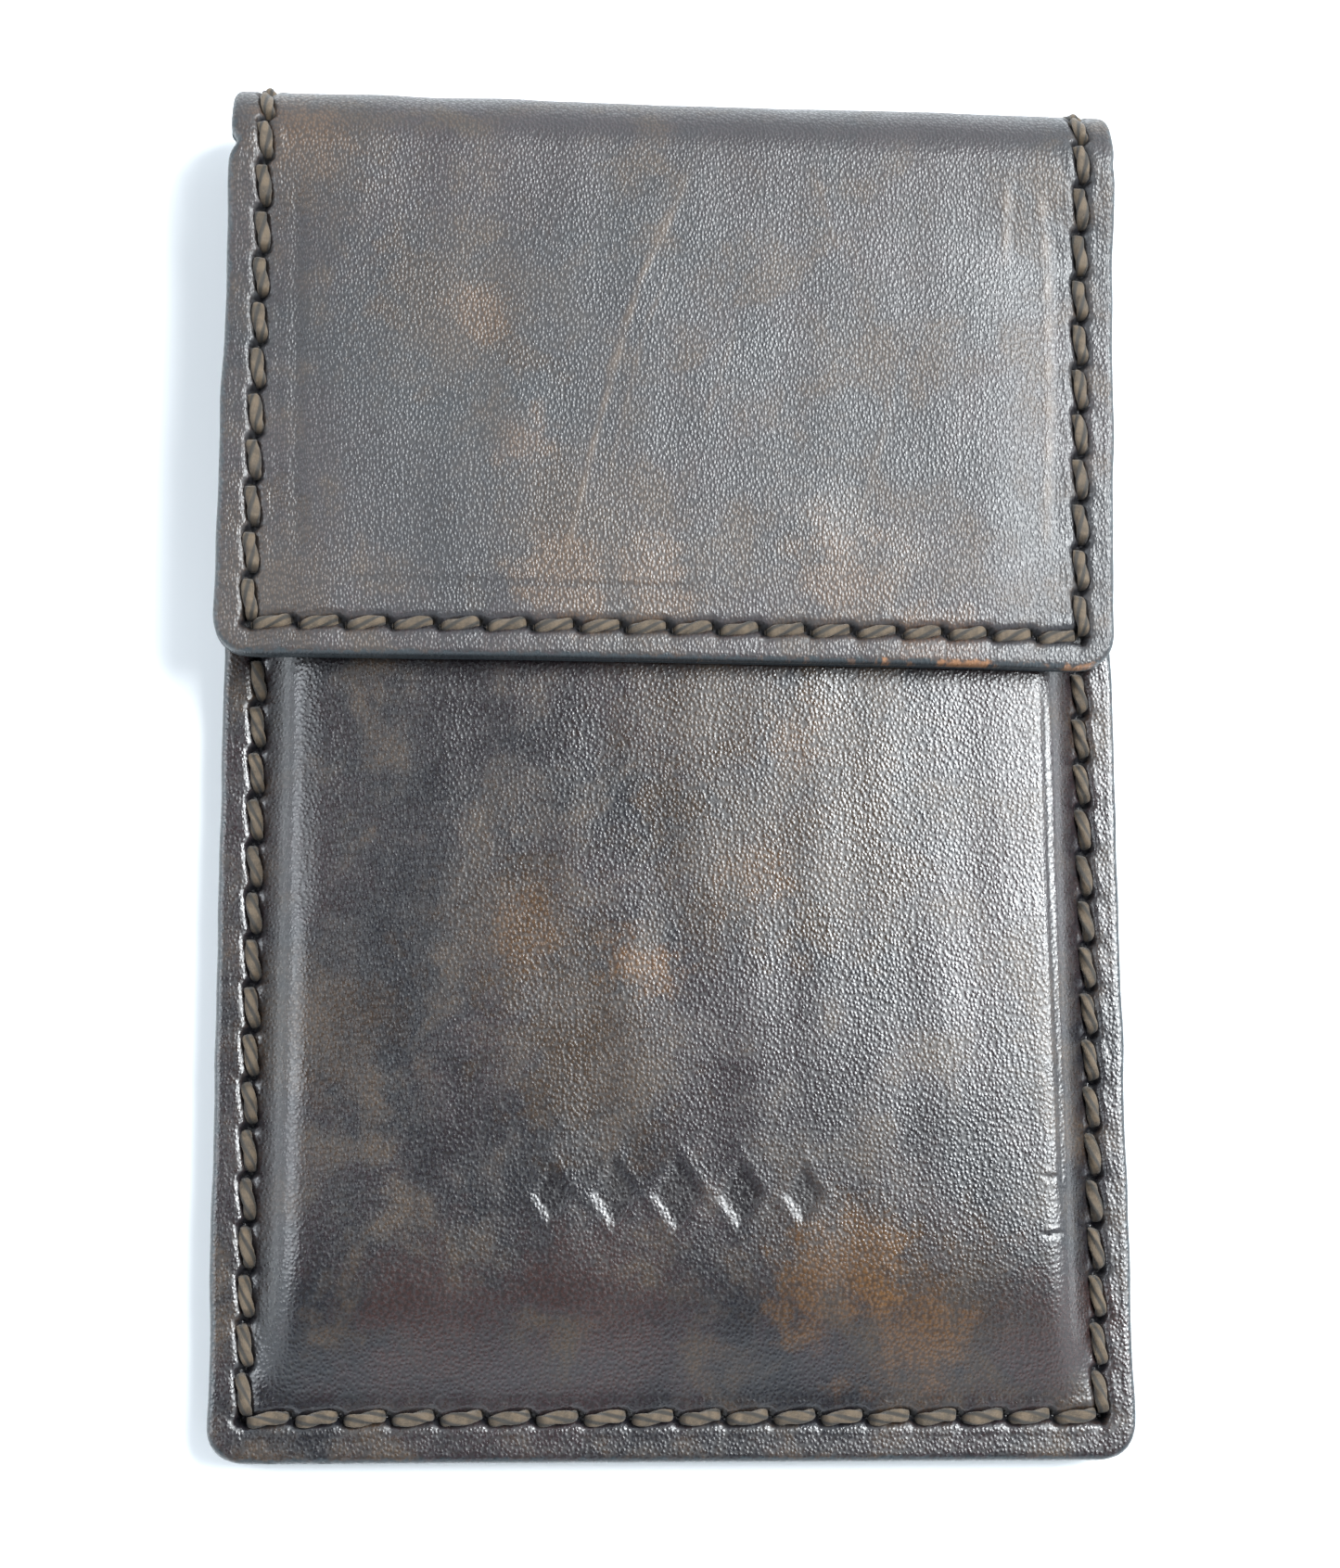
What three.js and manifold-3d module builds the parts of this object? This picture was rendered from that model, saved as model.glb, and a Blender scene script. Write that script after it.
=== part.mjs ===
// Leather card holder: a stitched pocket for a stack of cards under a fold-over flap.
//
// Frame: millimetres. The holder lies on its back panel at z = 0 with the pocket facing up (+Z).
// +Y runs from the closed lower end to the fold, and +X is the right hand of someone reading the
// front. The origin is below the middle of the closed holder.
//
// Outer leather: back panel, three fold strips and flap panel. Lining: the same five lengths on the
// inside. The fold turns half a circle. Its four lines of bending lie between the strips, on the
// bending line of the leather, and the outer leather has an open groove at each of them, so that
// the strips can lie flat when the flap is opened.

import * as THREE from "three";
import { mergeVertices } from "three/addons/utils/BufferGeometryUtils.js";
import Module from "manifold-3d";

const wasm = await Module();
wasm.setup();

// Outline of the closed holder
const HOLDER_WIDTH = 68.8;
const HOLDER_LENGTH = 103;
const FOLD_RIGHT_INSET = 1.0; // the strip narrows by this much from the lower end to the fold
const FLAP_LEAN = 0.6; // the flap's free end hangs this far to the left, past the pocket's edge
const FLAP_END_Y = 6.9; // free edge of the flap
const MOUTH_Y = 12.4; // top edge of the pocket, under the flap
const BODY_CORNER = 3;
const FLAP_CORNER = 3.2;

// Layers
const LEATHER = 1.3;
const LINING = 0.8;
const PANEL = 1.5;
const POCKET_HEIGHT = 4.4; // room for the stack of cards
const FLAP_CLEARANCE = 0.3; // air between the full pocket and the flap

// Stitching
const THREAD_WIDTH = 0.9;
const THREAD_THICKNESS = 0.6;
const THREAD_PROUD = 0.25; // how far the thread stands out of the front face
const THREAD_RECESS = 0.1; // how far it lies inside the back face
const GROOVE_PLAY = 0.1; // air on each side of the thread
const SIDE_SEAM = 2.6; // from the side edge to the line of stitches
const BODY_END_SEAM = 3.2; // from the lower edge to the line of stitches
const FLAP_END_SEAM = 2.4; // from the flap's free edge to the line of stitches
const SEAM_CORNER = 1.8;
const RUNG = 0.7; // side of the square thread where it passes through the layers

// Swell of the front panel over the cards
const SWELL_RUN = 3; // sideways length of the slope
const SWELL_GAP = 0.55; // from the line of stitches to the foot of the slope
const SWELL_WALL = 1.2; // leather in the wall of the slope
const SWELL_CORNER = 3;
const ROOM_CORNER = 1; // the cards have square corners
const WALL_THICKENING = PANEL / 2; // the wall of the slope grows by this much towards its foot

// Fineness of the curves
const OUTLINE_STEPS = 5;
const PILLOW_STEPS = 3;
const SWELL_STEPS = 3;
const WELD_DISTANCE = 1e-5; // corners nearer than this are the same corner

// Fold
const HINGES = 4;
const STRIP_STEPS = 4;
const CUT_SLACK = THREE.MathUtils.degToRad(2); // more than half of one hinge's turn
const CUT_AIR = 0.06;

const LEATHER_LOOK = { color: 0x3a2a24, roughness: 0.42, metalness: 0 };
const LINING_LOOK = { color: 0x2c211d, roughness: 0.65, metalness: 0 };
const THREAD_LOOK = { color: 0x5d5138, roughness: 0.8, metalness: 0 };

// Heights and fold radii that follow from the layers
const liningTop = LEATHER + LINING;
const rimTop = liningTop + PANEL;
const pocketTop = liningTop + POCKET_HEIGHT + PANEL;
const flapBottom = pocketTop + FLAP_CLEARANCE;
const flapTop = flapBottom + LINING + LEATHER;
const outerRadius = flapTop / 2;
const leatherInnerRadius = outerRadius - LEATHER;
const innerRadius = leatherInnerRadius - LINING;
const middleRadius = (outerRadius + innerRadius) / 2;
const hingeTurn = Math.PI / HINGES;

// The pivot that turns an arc of one hinge into a straight length of the same middle line
const halfTurn = hingeTurn / 2;
const hingeRadius = (middleRadius * halfTurn) / Math.sin(halfTurn);

// Edges and seams
const bottomY = -HOLDER_LENGTH / 2;
const foldY = HOLDER_LENGTH / 2 - THREAD_PROUD - outerRadius;
const bodyLeft = -HOLDER_WIDTH / 2 + FLAP_LEAN;
const bodyRight = HOLDER_WIDTH / 2;
const foldRight = bodyRight - FOLD_RIGHT_INSET;
const flapLeft = bodyLeft - FLAP_LEAN;
const flapRight = foldRight - FLAP_LEAN;
const beyond = HOLDER_LENGTH; // further than any piece reaches

const bodySeam = {
  leftTop: bodyLeft + SIDE_SEAM,
  rightTop: foldRight - SIDE_SEAM,
  leftEnd: bodyLeft + SIDE_SEAM,
  rightEnd: bodyRight - SIDE_SEAM,
  top: foldY,
  end: bottomY + BODY_END_SEAM,
};
const flapSeam = {
  leftTop: bodyLeft + SIDE_SEAM,
  rightTop: foldRight - SIDE_SEAM,
  leftEnd: flapLeft + SIDE_SEAM,
  rightEnd: flapRight - SIDE_SEAM,
  top: foldY,
  end: FLAP_END_Y + FLAP_END_SEAM,
};

// Solids

function solidFrom(geometry) {
  geometry.deleteAttribute("normal");
  geometry.deleteAttribute("uv");
  const merged = mergeVertices(geometry, WELD_DISTANCE);
  return new wasm.Manifold(
    new wasm.Mesh({
      numProp: 3,
      vertProperties: merged.attributes.position.array,
      triVerts: new Uint32Array(merged.index.array),
    }),
  );
}

function geometryFrom(solid) {
  const mesh = solid.getMesh();
  const geometry = new THREE.BufferGeometry();
  geometry.setAttribute("position", new THREE.BufferAttribute(mesh.vertProperties, 3));
  geometry.setIndex(new THREE.BufferAttribute(mesh.triVerts, 1));
  geometry.computeVertexNormals();
  return geometry;
}

function piece(name, solid, look) {
  const mesh = new THREE.Mesh(geometryFrom(solid), new THREE.MeshStandardMaterial(look));
  mesh.name = name;
  return mesh;
}

function joined(solids) {
  return solids.reduce((whole, next) => whole.add(next));
}

function boxBetween(low, high) {
  const size = high.map((value, axis) => value - low[axis]);
  const middle = high.map((value, axis) => (value + low[axis]) / 2);
  return solidFrom(new THREE.BoxGeometry(...size).translate(...middle));
}

// A flat outline raised from z = low to z = high
function raised(shape, low, high) {
  const geometry = new THREE.ExtrudeGeometry(shape, {
    depth: high - low,
    bevelEnabled: false,
    curveSegments: OUTLINE_STEPS,
  });
  return solidFrom(geometry.translate(0, 0, low));
}

// A section drawn in Y and Z, drawn out along X
function drawnAcross(points, left, right) {
  const section = new THREE.Shape(points);
  const geometry = new THREE.ExtrudeGeometry(section, { depth: right - left, bevelEnabled: false });
  const turn = new THREE.Matrix4().makeBasis(
    new THREE.Vector3(0, 1, 0),
    new THREE.Vector3(0, 0, 1),
    new THREE.Vector3(1, 0, 0),
  );
  return solidFrom(geometry.applyMatrix4(turn).translate(left, 0, 0));
}

// Outlines

// A panel that is open towards the fold, with two rounded corners at its free end
function panelOutline(edges, corner) {
  const shape = new THREE.Shape();
  shape.moveTo(edges.leftTop, edges.top);
  shape.lineTo(edges.leftEnd, edges.end + corner);
  shape.quadraticCurveTo(edges.leftEnd, edges.end, edges.leftEnd + corner, edges.end);
  shape.lineTo(edges.rightEnd - corner, edges.end);
  shape.quadraticCurveTo(edges.rightEnd, edges.end, edges.rightEnd, edges.end + corner);
  shape.lineTo(edges.rightTop, edges.top);
  shape.closePath();
  return shape;
}

// A band of the given width along a seam: down the left side, across the end and up the right
function seamBand(seam, width, top = seam.top) {
  const half = width / 2;
  const outer = SEAM_CORNER + half;
  const inner = SEAM_CORNER - half;
  const left = (y) => THREE.MathUtils.mapLinear(y, seam.end, seam.top, seam.leftEnd, seam.leftTop);
  const right = (y) =>
    THREE.MathUtils.mapLinear(y, seam.end, seam.top, seam.rightEnd, seam.rightTop);
  const low = seam.end - half;
  const high = seam.end + half;
  const bend = seam.end + SEAM_CORNER;
  const shape = new THREE.Shape();
  shape.moveTo(left(top) - half, top);
  shape.lineTo(left(bend) - half, bend);
  shape.quadraticCurveTo(seam.leftEnd - half, low, seam.leftEnd - half + outer, low);
  shape.lineTo(seam.rightEnd + half - outer, low);
  shape.quadraticCurveTo(seam.rightEnd + half, low, right(bend) + half, bend);
  shape.lineTo(right(top) + half, top);
  shape.lineTo(right(top) - half, top);
  shape.lineTo(right(bend) - half, bend);
  shape.quadraticCurveTo(seam.rightEnd - half, high, seam.rightEnd - half - inner, high);
  shape.lineTo(seam.leftEnd + half + inner, high);
  shape.quadraticCurveTo(seam.leftEnd + half, high, left(bend) + half, bend);
  shape.lineTo(left(top) + half, top);
  shape.closePath();
  return shape;
}

// Places where a seam's thread passes through the layers: both upper ends and both corners
function rungPlaces(seam, top) {
  const endOfSide = top - RUNG;
  return [
    [THREE.MathUtils.mapLinear(endOfSide, seam.end, seam.top, seam.leftEnd, seam.leftTop), endOfSide],
    [THREE.MathUtils.mapLinear(endOfSide, seam.end, seam.top, seam.rightEnd, seam.rightTop), endOfSide],
    [seam.leftEnd + SEAM_CORNER, seam.end],
    [seam.rightEnd - SEAM_CORNER, seam.end],
  ];
}

function rungs(seam, low, high, side) {
  const half = side / 2;
  return joined(
    rungPlaces(seam, seam.top).map(([x, y]) =>
      boxBetween([x - half, y - half, low], [x + half, y + half, high]),
    ),
  );
}

// Sections of the fold, in Y and Z about the fold's centre, from one angle to another.
// Outside the bending line a cut end leans back, so that two neighbours can close up when they open.

function bandPoint(radius, angle) {
  return new THREE.Vector2(radius * Math.cos(angle), radius * Math.sin(angle));
}

function cutAngle(radius) {
  const lean = Math.max(0, radius - hingeRadius) * Math.tan(halfTurn + CUT_SLACK);
  return (lean + CUT_AIR) / radius;
}

function arcPoints(radius, from, to, steps) {
  return Array.from({ length: steps + 1 }, (_, i) =>
    bandPoint(radius, THREE.MathUtils.lerp(from, to, i / steps)),
  );
}

// Points up one cut end, from the inner radius to the outer one; side is +1 or -1
function cutEnd(inner, outer, angle, side) {
  const radii = [inner, Math.min(outer, Math.max(inner, hingeRadius)), outer];
  const kept = radii.filter((radius, i) => i === 0 || radius - radii[i - 1] > CUT_AIR);
  return kept.map((radius) => bandPoint(radius, angle - side * cutAngle(radius)));
}

function stripSection(inner, outer) {
  const low = cutEnd(inner, outer, -halfTurn, -1);
  const high = cutEnd(inner, outer, halfTurn, 1);
  const innerArc = arcPoints(
    inner,
    halfTurn - cutAngle(inner),
    -halfTurn + cutAngle(inner),
    STRIP_STEPS,
  );
  const outerArc = arcPoints(
    outer,
    -halfTurn + cutAngle(outer),
    halfTurn - cutAngle(outer),
    STRIP_STEPS,
  );
  return [
    ...low.slice(0, -1),
    ...outerArc,
    ...high.slice(0, -1).reverse(),
    ...innerArc.slice(1, -1),
  ];
}

// The flat length of a panel with the first half turn of a hinge; up is +1 on the back, -1 on the flap
function panelSection(inner, outer, farY, up) {
  const start = -Math.PI / 2;
  const end = start + halfTurn;
  const steps = STRIP_STEPS / 2;
  const outerArc = arcPoints(outer, start, end - cutAngle(outer), steps);
  const innerArc = arcPoints(inner, start, end - cutAngle(inner), steps);
  const lip = cutEnd(inner, outer, end, 1).reverse().slice(1, -1);
  const points = [
    new THREE.Vector2(farY - foldY, -outer),
    ...outerArc,
    ...lip,
    ...innerArc.reverse(),
    new THREE.Vector2(farY - foldY, -inner),
  ];
  return points.map((point) => new THREE.Vector2(point.x + foldY, up * point.y + outerRadius));
}

function panelBlank(inner, outer, farY, up) {
  const points = panelSection(inner, outer, farY, up);
  return drawnAcross(up > 0 ? points : points.reverse(), -HOLDER_WIDTH, HOLDER_WIDTH);
}

// Panels

const bodyEdges = {
  leftTop: bodyLeft,
  rightTop: foldRight,
  leftEnd: bodyLeft,
  rightEnd: bodyRight,
  top: foldY,
  end: bottomY,
};
const flapEdges = {
  leftTop: bodyLeft,
  rightTop: foldRight,
  leftEnd: flapLeft,
  rightEnd: flapRight,
  top: foldY,
  end: FLAP_END_Y,
};

// The outline with the full width of the fold added above it
function cutter(edges, corner) {
  return joined([
    raised(panelOutline(edges, corner), -beyond, beyond),
    boxBetween([bodyLeft, foldY, -beyond], [foldRight, beyond, beyond]),
  ]);
}

const grooveWidth = THREAD_WIDTH + 2 * GROOVE_PLAY;
const holeSide = RUNG + 2 * GROOVE_PLAY;
const frontGroove = THREAD_THICKNESS - THREAD_PROUD;
const backGroove = THREAD_THICKNESS + THREAD_RECESS;
const bodyHoles = rungs(bodySeam, -beyond, beyond, holeSide);
const flapHoles = rungs(flapSeam, -beyond, beyond, holeSide);

function backPanel() {
  const groove = raised(seamBand(bodySeam, grooveWidth), -beyond, backGroove);
  return panelBlank(leatherInnerRadius, outerRadius, -beyond, 1)
    .intersect(cutter(bodyEdges, BODY_CORNER))
    .subtract(groove)
    .subtract(bodyHoles);
}

function backLining() {
  const open = boxBetween([-beyond, MOUTH_Y, liningTop - frontGroove], [beyond, beyond, beyond]);
  const groove = raised(seamBand(bodySeam, grooveWidth), 0, beyond).intersect(open);
  return panelBlank(innerRadius, leatherInnerRadius, -beyond, 1)
    .intersect(cutter(bodyEdges, BODY_CORNER))
    .subtract(groove)
    .subtract(bodyHoles);
}

function flapPanel() {
  const groove = raised(seamBand(flapSeam, grooveWidth), flapTop - frontGroove, beyond);
  return panelBlank(leatherInnerRadius, outerRadius, -beyond, -1)
    .intersect(cutter(flapEdges, FLAP_CORNER))
    .subtract(groove)
    .subtract(flapHoles);
}

function flapLining() {
  const groove = raised(seamBand(flapSeam, grooveWidth), 0, flapBottom + frontGroove);
  return panelBlank(innerRadius, leatherInnerRadius, -beyond, -1)
    .intersect(cutter(flapEdges, FLAP_CORNER))
    .subtract(groove)
    .subtract(flapHoles);
}

// A pillow whose side rises from z = foot in a quarter round to z = top, `run` further in
function pillow(inset, run, foot, top, corner) {
  const edges = {
    leftTop: bodySeam.leftTop + inset + run,
    rightTop: bodySeam.rightTop - inset - run,
    leftEnd: bodySeam.leftEnd + inset + run,
    rightEnd: bodySeam.rightEnd - inset - run,
    top: bodySeam.top,
    end: bodySeam.end + inset + run,
  };
  const geometry = new THREE.ExtrudeGeometry(panelOutline(edges, corner), {
    depth: foot,
    bevelSize: run,
    bevelThickness: top - foot,
    bevelSegments: SWELL_STEPS,
    curveSegments: PILLOW_STEPS,
  });
  return solidFrom(geometry);
}

function frontPanel() {
  const below = boxBetween([-beyond, bottomY, liningTop], [beyond, MOUTH_Y, beyond]);
  const rim = raised(panelOutline(bodyEdges, BODY_CORNER), liningTop, rimTop);
  const swell = pillow(SWELL_GAP, SWELL_RUN, rimTop, pocketTop, SWELL_CORNER);
  const innerGap = SWELL_GAP + SWELL_WALL;
  const innerRun = SWELL_RUN + SWELL_GAP - innerGap + WALL_THICKENING;
  const roomTop = liningTop + POCKET_HEIGHT;
  const room = pillow(innerGap, innerRun, liningTop, roomTop, ROOM_CORNER);
  const groove = raised(seamBand(bodySeam, grooveWidth), rimTop - frontGroove, beyond);
  return rim.add(swell).intersect(below).subtract(room).subtract(groove).subtract(bodyHoles);
}

// Threads

function bodyThread() {
  const overMouth = MOUTH_Y + THREAD_THICKNESS;
  const band = seamBand(bodySeam, THREAD_WIDTH);
  const lowBand = seamBand(bodySeam, THREAD_WIDTH, overMouth);
  const aboveMouth = boxBetween([-beyond, MOUTH_Y + GROOVE_PLAY, 0], [beyond, beyond, beyond]);
  const back = raised(band, THREAD_RECESS, THREAD_RECESS + THREAD_THICKNESS);
  const onPanel = raised(lowBand, rimTop - frontGroove, rimTop + THREAD_PROUD);
  const onLining = raised(band, liningTop - frontGroove, liningTop + THREAD_PROUD);
  const drop = raised(lowBand, liningTop - frontGroove, rimTop + THREAD_PROUD);
  const highRungs = rungs(bodySeam, THREAD_RECESS, liningTop + THREAD_PROUD, RUNG);
  const cornerRungs = rungs(bodySeam, THREAD_RECESS, rimTop + THREAD_PROUD, RUNG);
  const belowMouth = boxBetween([-beyond, -beyond, 0], [beyond, MOUTH_Y, beyond]);
  return joined([
    back,
    onPanel,
    onLining.intersect(aboveMouth),
    drop.intersect(aboveMouth),
    highRungs.intersect(aboveMouth),
    cornerRungs.intersect(belowMouth),
  ]);
}

function flapThread() {
  const band = seamBand(flapSeam, THREAD_WIDTH);
  return joined([
    raised(band, flapTop - frontGroove, flapTop + THREAD_PROUD),
    raised(band, flapBottom, flapBottom + frontGroove),
    rungs(flapSeam, flapBottom, flapTop + THREAD_PROUD, RUNG),
  ]);
}

// One stitch over a fold strip: a bar outside, a bar inside and two rungs through the layers,
// drawn for a strip that faces +Y, at the given place along X
const stitchReach = halfTurn - cutAngle(outerRadius + THREAD_PROUD + frontGroove);
const rungAngle = stitchReach - RUNG / innerRadius;

function stitchBar(inner, outer, x) {
  const points = [
    ...arcPoints(outer, -stitchReach, stitchReach, STRIP_STEPS),
    ...arcPoints(inner, stitchReach, -stitchReach, STRIP_STEPS),
  ];
  return drawnAcross(points, x - THREAD_WIDTH / 2, x + THREAD_WIDTH / 2);
}

function stitchRungs(inner, outer, x, side) {
  const rung = (angle) =>
    new THREE.BoxGeometry(side, outer - inner, side)
      .translate(0, (outer + inner) / 2, 0)
      .rotateX(angle)
      .translate(x, 0, 0);
  return joined([solidFrom(rung(-rungAngle)), solidFrom(rung(rungAngle))]);
}

function foldStitch(x) {
  const insideBar = innerRadius - THREAD_PROUD;
  return joined([
    stitchBar(outerRadius + GROOVE_PLAY / 2, outerRadius + THREAD_PROUD, x),
    stitchBar(insideBar, innerRadius - GROOVE_PLAY / 2, x),
    stitchRungs(innerRadius - GROOVE_PLAY, outerRadius + GROOVE_PLAY, x, RUNG),
  ]);
}

const stitchPlaces = { left: bodySeam.leftTop, right: bodySeam.rightTop };

function foldStrip(inner, outer) {
  const holes = joined(
    Object.values(stitchPlaces).map((x) => stitchRungs(0, 2 * outer, x, holeSide)),
  );
  return drawnAcross(stripSection(inner, outer), bodyLeft, foldRight).subtract(holes);
}

// Assembly

const body = new THREE.Group();
body.add(
  piece("back_panel", backPanel(), LEATHER_LOOK),
  piece("back_lining", backLining(), LINING_LOOK),
  piece("front_pocket_panel", frontPanel(), LEATHER_LOOK),
  piece("body_seam_thread", bodyThread(), THREAD_LOOK),
);

const flap = new THREE.Group();
flap.add(
  piece("flap_panel", flapPanel(), LEATHER_LOOK),
  piece("flap_lining", flapLining(), LINING_LOOK),
  piece("flap_seam_thread", flapThread(), THREAD_LOOK),
);

const fold = new THREE.Group();
fold.position.set(0, foldY, outerRadius);
["lower", "middle", "upper"].forEach((place, i) => {
  const strip = new THREE.Group();
  strip.rotation.x = (i - 1) * hingeTurn;
  strip.add(
    piece(`fold_leather_${place}`, foldStrip(leatherInnerRadius, outerRadius), LEATHER_LOOK),
    piece(`fold_lining_${place}`, foldStrip(innerRadius, leatherInnerRadius), LINING_LOOK),
  );
  for (const [side, x] of Object.entries(stitchPlaces)) {
    strip.add(piece(`fold_stitch_${side}_${place}`, foldStitch(x), THREAD_LOOK));
  }
  fold.add(strip);
});

const holder = new THREE.Group();
holder.add(body, fold, flap);

export default holder;
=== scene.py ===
"""Leather card holder: stitched pocket, fold-over flap, saddle stitching and a mottled waxed finish.

Work is in millimetres and meshes are stored in metres. One strip of leather, with its lining, runs
up the back, over the fold and down the flap. A place on it is (across, along, out): across is X,
along is measured on the outer face from the lower end, and out is the height above that face.
"""

import math

import bpy
import numpy as np
from mathutils import Matrix, Vector


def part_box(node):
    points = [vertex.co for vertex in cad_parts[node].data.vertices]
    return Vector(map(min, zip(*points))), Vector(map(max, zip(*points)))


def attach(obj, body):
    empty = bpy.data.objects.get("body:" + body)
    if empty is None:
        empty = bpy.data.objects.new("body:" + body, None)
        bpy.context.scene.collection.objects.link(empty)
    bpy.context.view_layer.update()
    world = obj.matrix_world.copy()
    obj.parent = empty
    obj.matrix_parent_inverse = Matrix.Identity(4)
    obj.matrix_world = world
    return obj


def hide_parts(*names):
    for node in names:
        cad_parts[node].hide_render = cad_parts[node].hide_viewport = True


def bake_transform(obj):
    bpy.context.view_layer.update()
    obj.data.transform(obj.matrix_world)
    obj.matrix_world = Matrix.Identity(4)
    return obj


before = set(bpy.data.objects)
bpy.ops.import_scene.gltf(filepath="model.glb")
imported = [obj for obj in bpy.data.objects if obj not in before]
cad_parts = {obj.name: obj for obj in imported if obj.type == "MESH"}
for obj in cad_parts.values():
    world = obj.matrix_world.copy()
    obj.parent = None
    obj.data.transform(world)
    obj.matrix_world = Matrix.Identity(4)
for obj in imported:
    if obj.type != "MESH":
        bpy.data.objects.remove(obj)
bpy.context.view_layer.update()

MM = 0.001


def corners_mm(node):
    low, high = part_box(node)
    return low / MM, high / MM


# ---------------------------------------------------------------- sizes from the frame

front_low, front_high = corners_mm("front_pocket_panel")
flap_low, flap_high = corners_mm("flap_panel")
fold_low, fold_high = corners_mm("fold_leather_middle")
thread_low, thread_high = corners_mm("body_seam_thread")
flap_thread_low = corners_mm("flap_seam_thread")[0]
stitch_low, stitch_high = corners_mm("fold_stitch_left_middle")

END_Y = front_low.y
MOUTH_Y = front_high.y
FLAP_END_Y = flap_low.y
BODY_LEFT = fold_low.x
BODY_RIGHT = front_high.x
FOLD_RIGHT = fold_high.x
FLAP_LEFT = flap_low.x
FLAP_RIGHT = FOLD_RIGHT - (BODY_LEFT - FLAP_LEFT)
RADIUS = flap_high.z / 2
FOLD_Y = fold_high.y - RADIUS
LEATHER = corners_mm("back_lining")[0].z
INSIDE = front_low.z
PLATEAU = front_high.z

HALF_TURN = math.pi * RADIUS
FLAP_START = FOLD_Y + HALF_TURN
FLAP_END = FLAP_START + FOLD_Y - FLAP_END_Y
CREST = FOLD_Y + HALF_TURN / 2

THREAD_HALF_WIDTH = 0.46
THREAD_HALF_HEIGHT = 0.33
BAND_HALF_WIDTH = (stitch_high.x - stitch_low.x) / 2
SIDE_SEAM = BODY_RIGHT - thread_high.x + BAND_HALF_WIDTH
BODY_END_SEAM = thread_low.y + BAND_HALF_WIDTH - END_Y
FLAP_END_SEAM = flap_thread_low.y + BAND_HALF_WIDTH - FLAP_END_Y
BODY_SEAM_Y = END_Y + BODY_END_SEAM
FLAP_SEAM_S = FLAP_END - FLAP_END_SEAM
SIDE_STITCHES = 42
END_STITCHES = 18
PITCH = (FLAP_SEAM_S - BODY_SEAM_Y) / SIDE_STITCHES

BODY_CORNER = 3.0
FLAP_CORNER = 3.2
EDGE_ROUND = 0.5
PANEL = 1.5
RIM = INSIDE + PANEL


# ---------------------------------------------------------------- soft irregularities

def ripples(seed, wavelength, amount, count=10):
    """A smooth random height field made of crossing waves."""
    random = np.random.default_rng(seed)
    angles = random.uniform(0, 2 * math.pi, count)
    lengths = wavelength * random.uniform(0.6, 1.6, count)
    phases = random.uniform(0, 2 * math.pi, count)

    def height(x, s):
        total = np.zeros(np.broadcast(x, s).shape)
        for angle, length, phase in zip(angles, lengths, phases):
            wave = 2 * math.pi / length
            total += np.sin(wave * (x * math.cos(angle) + s * math.sin(angle)) + phase)
        return amount * total / math.sqrt(count)

    return height


broad_wave = ripples(3, 24, 0.07)
hand_wave = ripples(5, 7, 0.022)
paint_lumps = ripples(11, 0.9, 0.06)
edge_wave = ripples(17, 9, 0.05)


def smooth(value):
    value = np.clip(value, 0, 1)
    return value * value * (3 - 2 * value)


def bell(distance, width):
    return np.exp(-((distance / width) ** 2))


# ---------------------------------------------------------------- the strip

def strip_place(x, s, out):
    """Position in millimetres of a place on the strip."""
    turn = np.clip((s - FOLD_Y) / RADIUS, 0, math.pi)
    past = np.maximum(s - FLAP_START, 0)
    y = np.minimum(s, FOLD_Y) + (RADIUS + out) * np.sin(turn) - past
    z = RADIUS - (RADIUS + out) * np.cos(turn)
    return np.stack(np.broadcast_arrays(x, y, z), -1)


def flat_place(x, y, z):
    return np.stack(np.broadcast_arrays(x, y, z), -1)


def strip_y(s):
    """Height on the page of a place on the flap, in the closed holder."""
    return FOLD_Y + FLAP_START - s


def corner_inset(end_distance, corner):
    reach = np.clip(end_distance, 0, corner) / corner
    return corner * (1 - np.sqrt(reach)) ** 2


EDGE_WAVE_APART = 20.0  # the two edges take their waves from places this far from the middle
CREST_PULL = 0.55
CREST_PULL_REACH = 2.4
NICK_AT = FLAP_START + 0.15
NICK_DEPTH = {-1: 0.5, 1: 0.12}
NICK_LENGTH = 0.75


def worn_edge(s, side):
    """Small waves of a hand-cut edge, drawn in at the crest, with a nick on the left of the fold."""
    wave = edge_wave(EDGE_WAVE_APART * side, s)
    crest_pull = CREST_PULL * bell(s - CREST, CREST_PULL_REACH)
    nick = NICK_DEPTH[side] * bell(s - NICK_AT, NICK_LENGTH)
    return wave + crest_pull + nick


def strip_edges(s):
    left = np.interp(s, [FLAP_START, FLAP_END], [BODY_LEFT, FLAP_LEFT]) + worn_edge(s, -1)
    right = np.interp(
        s,
        [END_Y, FOLD_Y, FLAP_START, FLAP_END],
        [BODY_RIGHT, FOLD_RIGHT, FOLD_RIGHT, FLAP_RIGHT],
    ) - worn_edge(s, 1)
    return left, right


def seam_sides(s):
    left = np.interp(s, [FLAP_START, FLAP_END], [BODY_LEFT, FLAP_LEFT]) + SIDE_SEAM
    right = np.interp(
        s,
        [END_Y, FOLD_Y, FLAP_START, FLAP_END],
        [BODY_RIGHT, FOLD_RIGHT, FOLD_RIGHT, FLAP_RIGHT],
    ) - SIDE_SEAM
    return left, right


# ---------------------------------------------------------------- seams as relief

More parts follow.
